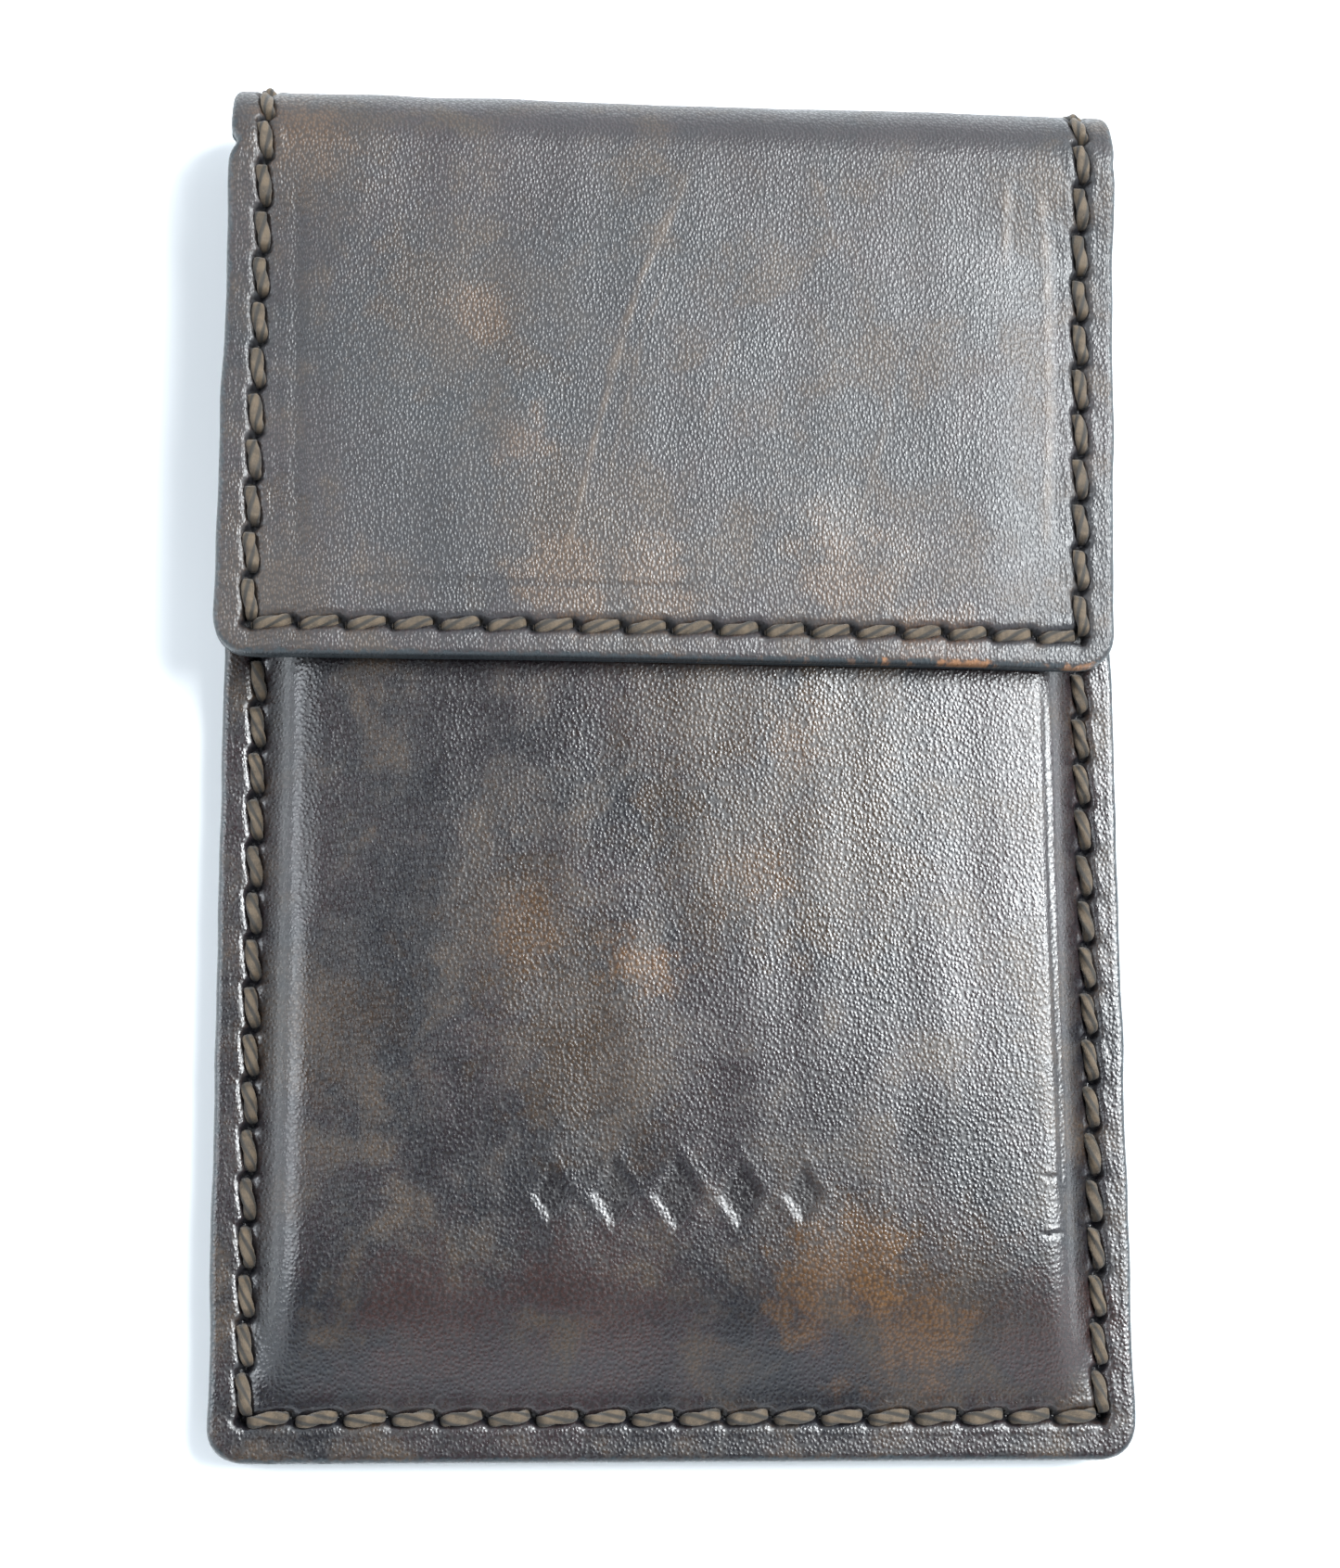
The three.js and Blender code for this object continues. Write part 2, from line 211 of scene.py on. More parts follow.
SIDE_SLANT = 0.27
END_SLANT = 0.25
HOLE_LENGTH = 0.62
HOLE_WIDTH = 0.30
HOLE_DEPTH = 0.55
# Reach of the painted shade that darkens the leather round each stitch hole
HOLE_SHADE_LENGTH = 1.25 * HOLE_LENGTH
HOLE_SHADE_WIDTH = 1.35 * HOLE_WIDTH
TROUGH_HALF_WIDTH = 0.48
TROUGH_FOLLOWS = 0.75  # share of a stitch's slant that its trough takes up
RIDGE_HEIGHT = 0.07
RIDGE_APART = 1.0
RIDGE_WIDTH = 0.34
SEAM_SAG = 0.10
SEAM_SAG_REACH = 1.5
SEAM_END_FADE = 0.45
FRONT_TROUGH = 0.42
BACK_TROUGH = 0.72


def stitch_phase(along, start, pitch):
    """-1 at the hole before a place, +1 at the hole after it, and the distance from the nearest hole."""
    steps = (along - start) / pitch
    phase = 2 * (steps - np.floor(steps)) - 1
    to_hole = (steps - np.round(steps)) * pitch
    return phase, to_hole


def seam_line(across, along, beyond, start, pitch, slant, hole_turn, depth):
    """Height and hole shade of one straight seam. beyond is how far a place lies past its ends."""
    phase, to_hole = stitch_phase(along, start, pitch)
    inside = bell(beyond, SEAM_END_FADE)
    middle = TROUGH_FOLLOWS * slant * phase
    trough = -depth * np.exp(-np.abs((across - middle) / TROUGH_HALF_WIDTH) ** 3)
    ridge = RIDGE_HEIGHT * bell(np.abs(across - middle) - RIDGE_APART, RIDGE_WIDTH) * (1 - phase**2)
    sag = -SEAM_SAG * bell(across, SEAM_SAG_REACH)
    a = across * math.cos(hole_turn) + to_hole * math.sin(hole_turn)
    b = -across * math.sin(hole_turn) + to_hole * math.cos(hole_turn)
    hole = np.exp(-(np.abs(a / HOLE_LENGTH) ** 3) - (np.abs(b / HOLE_WIDTH) ** 3))
    # shade is painted shade round the hole, darkest at its middle
    shade = bell(a, HOLE_SHADE_LENGTH) * bell(b, HOLE_SHADE_WIDTH)
    return inside * (trough + ridge + sag - HOLE_DEPTH * hole), inside * shade


SIDE_HOLE_TURN = math.radians(34)
END_HOLE_TURN = math.radians(-48)


END_SEAMS = ((BODY_SEAM_Y, 1), (FLAP_SEAM_S, -1))


def seam_relief(x, s, depth, facing=1, end_seams=END_SEAMS):
    """Height and hole shade of both side seams and of the end seams.

    facing is 1 on the strip's outer face and -1 on the front panel. An end seam is its place along
    the strip, and 1 or -1 for the way its stitches slant.
    """
    left, right = seam_sides(s)
    beyond = np.maximum(np.maximum(BODY_SEAM_Y - s, s - FLAP_SEAM_S), 0)
    aside = np.maximum(np.maximum(left - x, x - right), 0)
    pitch = (right - left) / END_STITCHES
    slant = facing * SIDE_SLANT
    turn = -facing * SIDE_HOLE_TURN
    seams = [
        seam_line(x - line, s, beyond, BODY_SEAM_Y, PITCH, slant, turn, depth) for line in (left, right)
    ]
    seams += [
        seam_line(s - seam_s, x, aside, left, pitch, way * END_SLANT, way * END_HOLE_TURN, depth)
        for seam_s, way in end_seams
    ]
    heights, shades = zip(*seams)
    return sum(heights), np.maximum.reduce(shades)


# ---------------------------------------------------------------- creases and pressed lines

def line_distance(x, y, points):
    """Distance to a chain of points, and how far along it the nearest place is, from 0 to 1."""
    best = np.full(np.broadcast(x, y).shape, 1e9)
    share = np.zeros(best.shape)
    side = np.zeros(best.shape)
    count = len(points) - 1
    for i, ((ax, ay), (bx, by)) in enumerate(zip(points, points[1:])):
        length = math.hypot(bx - ax, by - ay)
        t = np.clip(((x - ax) * (bx - ax) + (y - ay) * (by - ay)) / length**2, 0, 1)
        gap = np.hypot(x - ax - t * (bx - ax), y - ay - t * (by - ay))
        nearer = gap < best
        best = np.where(nearer, gap, best)
        share = np.where(nearer, (i + t) / count, share)
        cross = ((x - ax) * (by - ay) - (y - ay) * (bx - ax)) / length
        side = np.where(nearer, np.sign(cross), side)
    return best, share, side


# Each crease: its points in the closed holder, its height and its width
FLAP_CREASES = [
    ([(0.9, 45.2), (-1.0, 40.2), (-3.1, 35.8), (-4.9, 29.3), (-6.6, 22.9), (-7.9, 17.2), (-9.3, 11.4)],
     0.022, 0.26),
    ([(0.2, 43.8), (-2.3, 38.2), (-4.5, 32.0), (-6.2, 25.5)], 0.014, 0.20),
    ([(-0.4, 37.6), (-2.9, 31.6), (-4.3, 25.2), (-6.0, 18.0)], 0.010, 0.20),
    ([(10.2, 44.4), (11.1, 41.0), (12.0, 38.2)], 0.014, 0.18),
    ([(15.9, 28.4), (15.2, 24.2), (14.2, 20.6), (12.7, 14.4)], 0.010, 0.30),
    ([(4.4, 33.0), (2.6, 27.5), (1.5, 24.0)], 0.008, 0.3),
    ([(24.8, 37.5), (24.9, 44.6)], 0.045, 0.34),
    ([(27.5, 14.0), (28.0, 26.0), (28.1, 38.0), (27.3, 45.0)], 0.050, 0.38),
]
# Each pressed line: its points in the closed holder, its depth and its width
FLAP_PRESSED = [
    ([(-28.7, 44.5), (-28.6, 30.0), (-28.2, 12.7)], 0.045, 0.45),
    ([(-28.2, 12.6), (-10.0, 12.3), (2.0, 12.2)], 0.07, 0.26),
]
FRONT_PRESSED = [
    ([(27.8, 8.0), (28.0, -8.0), (28.4, -24.0), (28.6, -33.5)], 0.17, 0.22),
    ([(27.2, -31.0), (28.5, -30.8)], 0.08, 0.22),
    ([(27.0, -35.2), (28.6, -34.9)], 0.09, 0.22),
    ([(-27.3, 7.5), (-27.2, -2.0), (-27.5, -13.0)], 0.07, 0.7),
]


PRESSED_LIP = 0.35
PRESSED_FADE = 0.12
# Depth from which a pressed line takes its full painted shade
PRESSED_DARK_FROM = 0.10


def pressed(x, y, lines):
    """Grooves with a low raised lip on both sides, fading out at their ends."""
    height = np.zeros(np.broadcast(x, y).shape)
    mark = np.zeros(height.shape)
    for points, depth, width in lines:
        gap, share, _ = line_distance(x, y, points)
        fade = smooth(share / PRESSED_FADE) * smooth((1 - share) / PRESSED_FADE)
        lip = PRESSED_LIP * bell(gap - 1.9 * width, 0.8 * width)
        height += fade * depth * (lip - bell(gap, width))
        # mark is where painted shade darkens the groove
        mark = np.maximum(mark, fade * bell(gap, width) * min(1, depth / PRESSED_DARK_FROM))
    return height, mark


CREASE_FADE = 0.15
# Rise from which a wrinkle takes its full painted highlight
CREASE_LIGHT_FROM = 0.022


def creased(x, y, lines):
    """Thin raised wrinkles with a shallow hollow on one side."""
    height = np.zeros(np.broadcast(x, y).shape)
    mark = np.zeros(height.shape)
    for points, rise, width in lines:
        gap, share, side = line_distance(x, y, points)
        fade = smooth(share / CREASE_FADE) * smooth((1 - share) / CREASE_FADE)
        wobble = 0.7 + 0.3 * np.sin(1.9 * y + 3 * share)
        hollow = 0.9 * bell(gap - 1.6 * width, width) * (side > 0)
        height += fade * wobble * rise * (bell(gap, width) - hollow)
        strength = min(1, rise / CREASE_LIGHT_FROM)
        # mark is where a painted highlight lightens the wrinkle's crest
        mark = np.maximum(mark, fade * wobble * bell(gap, 0.9 * width) * strength)
    return height, mark


# ---------------------------------------------------------------- ornament

ORNAMENT_Y = -32.2
ORNAMENT_DEPTH = 0.10
ORNAMENT_WALL = 0.50
ORNAMENT_RIM = 0.03
LOZENGE_SHRINK = 0.13  # each lozenge is this share smaller than its neighbour nearer the middle
LOZENGE_PITCH = 4.6
LOZENGE_WIDE = 1.75
LOZENGE_HIGH = 2.6
LOZENGE_INSIDE = LOZENGE_WIDE * LOZENGE_HIGH / math.hypot(LOZENGE_WIDE, LOZENGE_HIGH)


def ornament(x, y):
    """A row of five pressed lozenges, the middle one largest, each with a softly raised rim."""
    height = np.zeros(np.broadcast(x, y).shape)
    mark = np.zeros(height.shape)
    for i in range(-2, 3):
        size = 1 - LOZENGE_SHRINK * abs(i)
        across = np.abs(x - i * LOZENGE_PITCH) / (LOZENGE_WIDE * size)
        up = np.abs(y - ORNAMENT_Y) / (LOZENGE_HIGH * size)
        outside = (across + up - 1) * LOZENGE_INSIDE * size
        sunk = smooth(0.5 - outside / ORNAMENT_WALL)
        height += ORNAMENT_RIM * bell(outside - 0.55, 0.35) - ORNAMENT_DEPTH * sunk
        # mark is where painted shade darkens the sunk floor
        mark = np.maximum(mark, sunk)
    return height, mark


# ---------------------------------------------------------------- meshes

def spaced(stops):
    """Numbers from a list of (from, to, step), each stretch divided evenly."""
    values = [stops[0][0]]
    for start, end, step in stops:
        count = max(1, round(abs(end - start) / step))
        values += [start + (end - start) * (i + 1) / count for i in range(count)]
    return np.array(values)


def edge_offsets(round_radius):
    return [round_radius * (1 - math.cos(math.radians(angle))) for angle in (0, 22, 42, 62, 90)]


SIDE_OFFSETS = np.array(
    edge_offsets(EDGE_ROUND) + list(spaced([(0.8, 1.5, 0.35), (1.5, 3.75, 0.135), (3.75, 6.6, 0.26)]))
)


def column_places(left, right, middle_step):
    """Columns that keep their distance from both edges and share out the middle."""
    middle = spaced([(0, 1, middle_step / (BODY_RIGHT - BODY_LEFT - 2 * SIDE_OFFSETS[-1]))])[1:-1]
    inner_left = left + SIDE_OFFSETS[-1]
    inner_right = right - SIDE_OFFSETS[-1]
    return np.concatenate([
        left[:, None] + SIDE_OFFSETS,
        inner_left[:, None] + (inner_right - inner_left)[:, None] * middle,
        right[:, None] - SIDE_OFFSETS[::-1],
    ], axis=1)


def end_rows(corner, seam):
    """Distances from a rounded end, close together in the corner and at the seam."""
    arc = [corner * (i / 9) ** 2 for i in range(7)]
    return np.array(arc + list(spaced([(arc[-1] + 0.15, seam + 1.3, 0.14)])))


def kept(count, dense_start, dense_end, step):
    """Indices of the rows or columns that the unseen side keeps."""
    middle = list(range(dense_start, count - dense_end, step))
    return np.array(list(range(dense_start)) + middle + list(range(count - dense_end, count)))


def rounding(distance, radius):
    inward = radius - np.clip(distance, 0, radius)
    return radius - np.sqrt(np.maximum(radius**2 - inward**2, 0))


def rim_distance(x, s, left, right, start, end, start_corner, end_corner):
    """Distance of a place from the outline. A corner of 0 means that the end runs on."""
    across = np.minimum(x - left, right - x)
    distance = across
    for gap, corner in ((s - start, start_corner), (end - s, end_corner)):
        if corner:
            u = np.maximum(across, 1e-4) / corner
            v = np.maximum(gap, 1e-4) / corner
            past = np.sqrt(u) + np.sqrt(v) - 1
            slope = np.hypot(0.5 / np.sqrt(u), 0.5 / np.sqrt(v))
            curved = np.where((u < 1) & (v < 1), corner * np.maximum(past, 0) / slope, 1e3)
            distance = np.minimum(distance, np.minimum(gap, curved))
    return np.maximum(distance, 0)


def mesh_object(name, points, quads, triangles, attributes):
    volume = 0
    for corners in (quads[:, [0, 1, 2]], quads[:, [0, 2, 3]], triangles):
        a, b, c = (points[corners[:, i]] for i in range(3))
        volume += np.einsum("ij,ij->i", a, np.cross(b, c)).sum()
    if volume < 0:
        quads = quads[:, ::-1]
        triangles = triangles[:, ::-1]
    corner_list = np.concatenate([quads.ravel(), triangles.ravel()]).astype(np.int32)
    starts = np.concatenate([
        np.arange(len(quads)) * 4,
        len(quads) * 4 + np.arange(len(triangles)) * 3,
    ]).astype(np.int32)
    mesh = bpy.data.meshes.new(name)
    mesh.vertices.add(len(points))
    mesh.vertices.foreach_set("co", (points * MM).astype(np.float32).ravel())
    mesh.loops.add(len(corner_list))
    mesh.loops.foreach_set("vertex_index", corner_list)
    mesh.polygons.add(len(starts))
    mesh.polygons.foreach_set("loop_start", starts)
    mesh.update(calc_edges=True)
    mesh.validate()
    mesh.shade_smooth()
    mesh.set_sharp_from_angle(angle=math.radians(52))
    for key, values in attributes.items():
        if values.ndim == 2:
            layer = mesh.attributes.new(key, "FLOAT_VECTOR", "POINT")
            layer.data.foreach_set("vector", values.astype(np.float32).ravel())
        else:
            layer = mesh.attributes.new(key, "FLOAT", "POINT")
            layer.data.foreach_set("value", values.astype(np.float32).ravel())
    made = bpy.data.objects.new(name, mesh)
    bpy.context.scene.collection.objects.link(made)
    return made


def grid_quads(index):
    return np.stack([index[:-1, :-1], index[:-1, 1:], index[1:, 1:], index[1:, :-1]], -1).reshape(-1, 4)


def slab(name, top, bottom, keep_rows, keep_columns, top_attributes, bottom_attributes):
    """A closed sheet: a fine upper grid, a coarser lower one and the wall between them."""
    rows, columns = top.shape[:2]
    top_index = np.arange(rows * columns).reshape(rows, columns)
    low_index = rows * columns + np.arange(bottom.shape[0] * bottom.shape[1]).reshape(bottom.shape[:2])
    quads = np.concatenate([grid_quads(top_index), grid_quads(low_index)[:, ::-1]])
    walls = []

    def wall(upper, lower, marks):
        for a, b, low_a, low_b in zip(marks, marks[1:], lower, lower[1:]):
            middle = (a + b) // 2
            for i in range(a, b):
                if i == middle:
                    walls.append((upper[i], low_a, low_b))
                walls.append((upper[i + 1], upper[i], low_a if i < middle else low_b))

    last_row = rows - 1 - keep_rows[::-1]
    last_column = columns - 1 - keep_columns[::-1]
    wall(top_index[0], low_index[0], keep_columns)
    wall(top_index[:, -1], low_index[:, -1], keep_rows)
    wall(top_index[-1, ::-1], low_index[-1, ::-1], last_column)
    wall(top_index[::-1, 0], low_index[::-1, 0], last_row)
    points = np.concatenate([top.reshape(-1, 3), bottom.reshape(-1, 3)])
    attributes = {}
    for key, values in top_attributes.items():
        low_values = bottom_attributes[key]
        shape = (-1, 3) if values.ndim == 3 else (-1,)
        attributes[key] = np.concatenate([values.reshape(shape), low_values.reshape(shape)])
    return mesh_object(name, points, quads, np.array(walls), attributes)


# ---------------------------------------------------------------- leather and lining pieces

def back_depth(s):
    """Grooves are deep on the back, where the thread lies inside the leather."""
    return np.interp(s, [FOLD_Y, FOLD_Y + 3], [BACK_TROUGH, FRONT_TROUGH])


LEFT_DROOP = 0.30
RIGHT_DROOP = 0.60
ROOF_LINE_X = (-8.5, 1.5)
ROOF_LINE_Y = (11.4, 45.2)
ROOF_FALL = 0.55
ROOF_RUN = 30
ROOF_ROUND = 0.1
LIP_FALL = 0.10


def strip_bend(x, s):
    """Slow height changes shared by leather and lining, so that they stay together."""
    on_flap = smooth((s - FLAP_START) / 8)
    droop = -LEFT_DROOP * smooth((-x - 24) / 10) - RIGHT_DROOP * smooth((x - 22) / 10)
    crest_x = np.interp(strip_y(s), ROOF_LINE_Y, ROOF_LINE_X)
    roof = -ROOF_FALL * (np.hypot((x - crest_x) / ROOF_RUN, ROOF_ROUND) - ROOF_ROUND)
    lip = -LIP_FALL * smooth((s - FLAP_END + 7) / 7)
    settled = smooth((s - FOLD_Y - 1) / 5)
    return on_flap * (droop + roof) + lip - settled * np.abs(broad_wave(x, s))


def outline(s, start_corner, end_corner):
    left, right = strip_edges(s)
    inset = np.zeros(s.shape)
    if start_corner:
        inset = np.maximum(inset, corner_inset(s - END_Y, start_corner))
    if end_corner:
        inset = np.maximum(inset, corner_inset(FLAP_END - s, end_corner))
    return left + inset, right - inset


def strip_piece(name, rows, out, thickness, middle_step, start_corner=0, end_corner=0, lining=False):
    """One length of the outer leather, or of its lining."""
    left, right = outline(rows, start_corner, end_corner)
    x = column_places(left, right, middle_step)
    s = np.repeat(rows[:, None], x.shape[1], 1)
    keep_rows = kept(len(rows), min(9, len(rows) // 3), min(9, len(rows) // 3), 2 if lining else 3)
    keep_columns = kept(x.shape[1], 6, 6, 2 if lining else 3)
    pick = np.ix_(keep_rows, keep_columns)
    base_left, base_right = strip_edges(s)
    rim = rim_distance(x, s, base_left, base_right, END_Y, FLAP_END, start_corner, end_corner)
    bend = strip_bend(x, s)
    if lining:
        return lining_piece(name, x, s, rim, bend, out, thickness, keep_rows, keep_columns)
    seams, shade = seam_relief(x, s, back_depth(s))
    y = strip_y(s)
    on_flap = smooth((s - FLAP_START + 2.0) / 2.0)
    press_height, press_mark = pressed(x, y, FLAP_PRESSED)
    crease_height, crease_mark = creased(x, y, FLAP_CREASES)
    relief = seams + on_flap * (press_height + crease_height) + hand_wave(x, s) - 0.03
    ceiling = np.interp(s, [FOLD_Y - 1, FOLD_Y + 1], [0.0, 0.12])
    outer = out + bend + np.minimum(relief, ceiling) - rounding(rim, EDGE_ROUND)
    worn = worn_paint(x, s)
    lumps = crumbly(x, s) * np.maximum(paint_lumps(x, 40 + s), 0) * bell(rim, 0.6)
    outer = outer - 2.0 * lumps
    inner = out + bend - thickness + rounding(rim, 0.1)
    top = strip_place(x, s, outer)
    low = strip_place(x, s, inner)[pick]
    shared = {
        "place": np.stack([x, s, np.zeros_like(x)], -1),
        "rim": rim,
        "hole": shade,
        # press carries the painted shade of the pressed lines
        "press": on_flap * press_mark,
        # crease carries the painted highlight along the wrinkles
        "crease": on_flap * crease_mark,
        "worn": worn,
    }
    lower = {key: values[pick] for key, values in shared.items()}
    lower["place"] = lower["place"] + np.array([0, 0, -thickness])
    return slab(name, top, low, keep_rows, keep_columns, shared, lower)


def worn_paint(x, s):
    """Where the paint of the flap's free edge has rubbed through to raw leather."""
    near_end = smooth((s - FLAP_END + 3.4) / 0.5)
    strong = bell(x - 21.2, 2.0) + 0.75 * bell(x - 30.2, 1.5) + 0.45 * bell(x - 16.0, 2.6)
    faint = 0.25 * bell(x - 26.0, 2.5) + 0.2 * bell(x - 4, 9)
    return near_end * np.clip(strong + faint, 0, 1)


def crumbly(x, s):
    """Rough, thick edge paint round the lower left corner."""
    corner = bell(np.hypot(x - BODY_LEFT - 1.0, s - END_Y - 1.0), 3.6)
    end = bell(x + 26.5, 5.5) * bell(s - END_Y, 1.2)
    return np.clip(corner + end, 0, 1)


def lining_piece(name, x, s, rim, bend, out, thickness, keep_rows, keep_columns):
    """The lining's inner face is the fine one; its outer face lies against the leather."""
    pick = np.ix_(keep_rows, keep_columns)
    _, shade = seam_relief(x, s, FRONT_TROUGH)
    left, right = seam_sides(s)
    near = bell(np.minimum(np.abs(x - left), np.abs(x - right)), 0.55)
    open_part = smooth((s - MOUTH_Y) / 1.0)
    relief = open_part * (0.22 * near + 0.3 * shade) + 0.4 * hand_wave(x + 31, s)
    inner = out + bend - thickness + relief + rounding(rim, 0.3) + 0.02
    outer = out + bend - 0.01 - rounding(rim, 0.1)
    shared = {
        "place": np.stack([x, s, np.full_like(x, 9.0)], -1),
        "rim": rim,
        "hole": shade * open_part,
    }
    lower = {key: values[pick] for key, values in shared.items()}
    top = strip_place(x, s, inner)
    low = strip_place(x, s, outer)[pick]
    return slab(name, top, low, keep_rows, keep_columns, shared, lower)


FOLD_PARTS = 4
FOLD_STRIPS = ["lower", "middle", "middle", "upper"]
FOLD_STEP = 0.14
COARSE_STEP = 0.62  # for the lining and for the plain leather of the back
LEATHER_STEP = 0.27
FOLD_LEATHER_STEP = 0.3


def fold_cut(i):
    return FOLD_Y + HALF_TURN * i / FOLD_PARTS


def bend_over_fold(piece, i):
    """Bakes the placement of part i of the fold into its mesh; the places of its two cuts are worked out
    but not used.
    """
    middle = -INSIDE / 2
    start = Vector(strip_place(0.0, fold_cut(i), middle)) * MM
    end = Vector(strip_place(0.0, fold_cut(i + 1), middle)) * MM
    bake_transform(piece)


def make_strip(outer_material, lining_material):
    body_rows = np.concatenate([
        END_Y + end_rows(BODY_CORNER, BODY_END_SEAM),
        spaced([(END_Y + BODY_END_SEAM + 1.6, FOLD_Y, 0.3)]),
    ])
    flap_rows = np.concatenate([
        spaced([(FLAP_START, FLAP_END - FLAP_END_SEAM - 1.6, 0.26)]),
        FLAP_END - end_rows(FLAP_CORNER, FLAP_END_SEAM)[::-1],
    ])
    for lining in (False, True):
        kind = "lining" if lining else "leather"
        out = -LEATHER if lining else 0.0
        thickness = INSIDE - LEATHER if lining else LEATHER
        material = lining_material if lining else outer_material
        back = strip_piece(
            f"back_{kind}_piece", body_rows, out, thickness, COARSE_STEP, BODY_CORNER, 0, lining
        )
        flap = strip_piece(
            f"flap_{kind}_piece", flap_rows, out, thickness, COARSE_STEP if lining else LEATHER_STEP,
            0, FLAP_CORNER, lining,
        )
        finish_piece(back, material)
        finish_piece(flap, material)
        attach(back, "pocket")
        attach(flap, "flap")
        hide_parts("back_lining" if lining else "back_panel")
        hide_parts("flap_lining" if lining else "flap_panel")
        for i in range(FOLD_PARTS):
            rows = spaced([(fold_cut(i), fold_cut(i + 1), FOLD_STEP)])
            part = strip_piece(
                f"fold_{kind}_part_{i + 1}", rows, out, thickness,
                COARSE_STEP if lining else FOLD_LEATHER_STEP, 0, 0, lining,
            )
            finish_piece(part, material)
            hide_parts(f"fold_{kind}_{FOLD_STRIPS[i]}")
            bend_over_fold(part, i)


def finish_piece(piece, material):
    piece.data.materials.append(material)


SWELL_START = 0.6
SWELL_SIDE = 4.6
SWELL_END = 16.0
SWELL_EDGE = 1.1
SWELL_ROUND = 0.85
ORNAMENT_REACH = 3.4
ORNAMENT_STEP = 0.19
FRONT_SHIFT = 60  # the front panel takes its waves from leather this far away,
FRONT_GRAIN_SHIFT = 300  # and its grain and mottling from further away
FLAP_CLEARANCE = 0.35


def swell_height(x, y):
    """Upper face of the front panel before any detail: rim, slope and crowned plateau."""
    left, right = seam_sides(y)
    side = np.minimum(x - left, right - x) - SWELL_START
    end = y - BODY_SEAM_Y - SWELL_START
    side_rise = 1 - (1 - np.clip(side / SWELL_SIDE, 0, 1)) ** 2
    end_rise = 1 - (1 - np.clip(end / SWELL_END, 0, 1)) ** 2
    rise = smooth(side_rise) ** SWELL_ROUND * smooth(end_rise) ** SWELL_ROUND
    half = (right - left) / 2
    crown = SWELL_EDGE * (1 - ((x - (left + right) / 2) / half) ** 2) * smooth(end / 30)
    return RIM + rise * (PLATEAU - FLAP_CLEARANCE - RIM - SWELL_EDGE + crown)


def make_front(material):
    rows = np.concatenate([
        END_Y + end_rows(BODY_CORNER, BODY_END_SEAM),
        spaced([
            (END_Y + BODY_END_SEAM + 1.6, ORNAMENT_Y - ORNAMENT_REACH, LEATHER_STEP),
            (ORNAMENT_Y - ORNAMENT_REACH, ORNAMENT_Y + ORNAMENT_REACH, ORNAMENT_STEP),
            (ORNAMENT_Y + ORNAMENT_REACH, MOUTH_Y - 1.0, LEATHER_STEP),
            (MOUTH_Y - 1.0, MOUTH_Y - 0.4, 0.15),
            (MOUTH_Y - 0.4, MOUTH_Y, 0.08),
        ]),
    ])
    left, right = outline(rows, BODY_CORNER, 0)
    x = column_places(left, right, 0.25)
    y = np.repeat(rows[:, None], x.shape[1], 1)
    base_left, base_right = strip_edges(y)
    rim = rim_distance(x, y, base_left, base_right, END_Y, FLAP_END, BODY_CORNER, 0)
    mouth = MOUTH_Y - y
    seams, shade = seam_relief(x, y, FRONT_TROUGH, -1, END_SEAMS[:1])
    press_height, press_mark = pressed(x, y, FRONT_PRESSED)
    mark_height, mark_shade = ornament(x, y)
    waves = 0.5 * broad_wave(x + FRONT_SHIFT, y) + 1.2 * hand_wave(x + FRONT_SHIFT, y)
    waves = waves * smooth((rim - 1) / 5)
    swell = swell_height(x, y)
    relief = seams + press_height + mark_height + waves - 0.05
    lumps = crumbly(x, y) * np.maximum(paint_lumps(x, y), 0) * bell(rim, 0.5)
    top_height = swell + relief - rounding(rim, EDGE_ROUND) - rounding(mouth, 0.35) - 1.5 * lumps
    keep_rows = kept(len(rows), 8, 6, 3)
    keep_columns = kept(x.shape[1], 6, 6, 3)
    pick = np.ix_(keep_rows, keep_columns)
    low_height = swell - PANEL + 0.02 + rounding(rim, 0.1) + rounding(mouth, 0.3)
    shared = {
        "place": np.stack([x, y + FRONT_GRAIN_SHIFT, np.zeros_like(x)], -1),
        "rim": np.minimum(rim, mouth),
        "hole": shade,
        # press carries the painted shade of the pressed lines and of the ornament's sunk floors
        "press": np.maximum(press_mark, mark_shade),
        "crease": np.zeros_like(x),
        "worn": np.zeros_like(x),
    }
    lower = {key: values[pick] for key, values in shared.items()}
    lower["place"] = lower["place"] + np.array([0, 0, -PANEL])
    panel = slab(
        "front_panel_leather",
        flat_place(x, y, top_height),
        flat_place(x, y, low_height)[pick],
        keep_rows,
        keep_columns,
        shared,
        lower,
    )
    finish_piece(panel, material)
    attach(panel, "pocket")
    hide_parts("front_pocket_panel")


# ---------------------------------------------------------------- thread

STITCH_RINGS = 25
RING_POINTS = 18
PLIES = 3
TWIST_LENGTH = 2.1
# How far the thread stands out of the flap, the front panel, the inside and the back
FLAP_PROUD = 0.24
PANEL_PROUD = 0.20
INSIDE_PROUD = 0.14
BACK_PROUD = -0.08
DIVE = 1.0
HOLE_GAP = 0.20


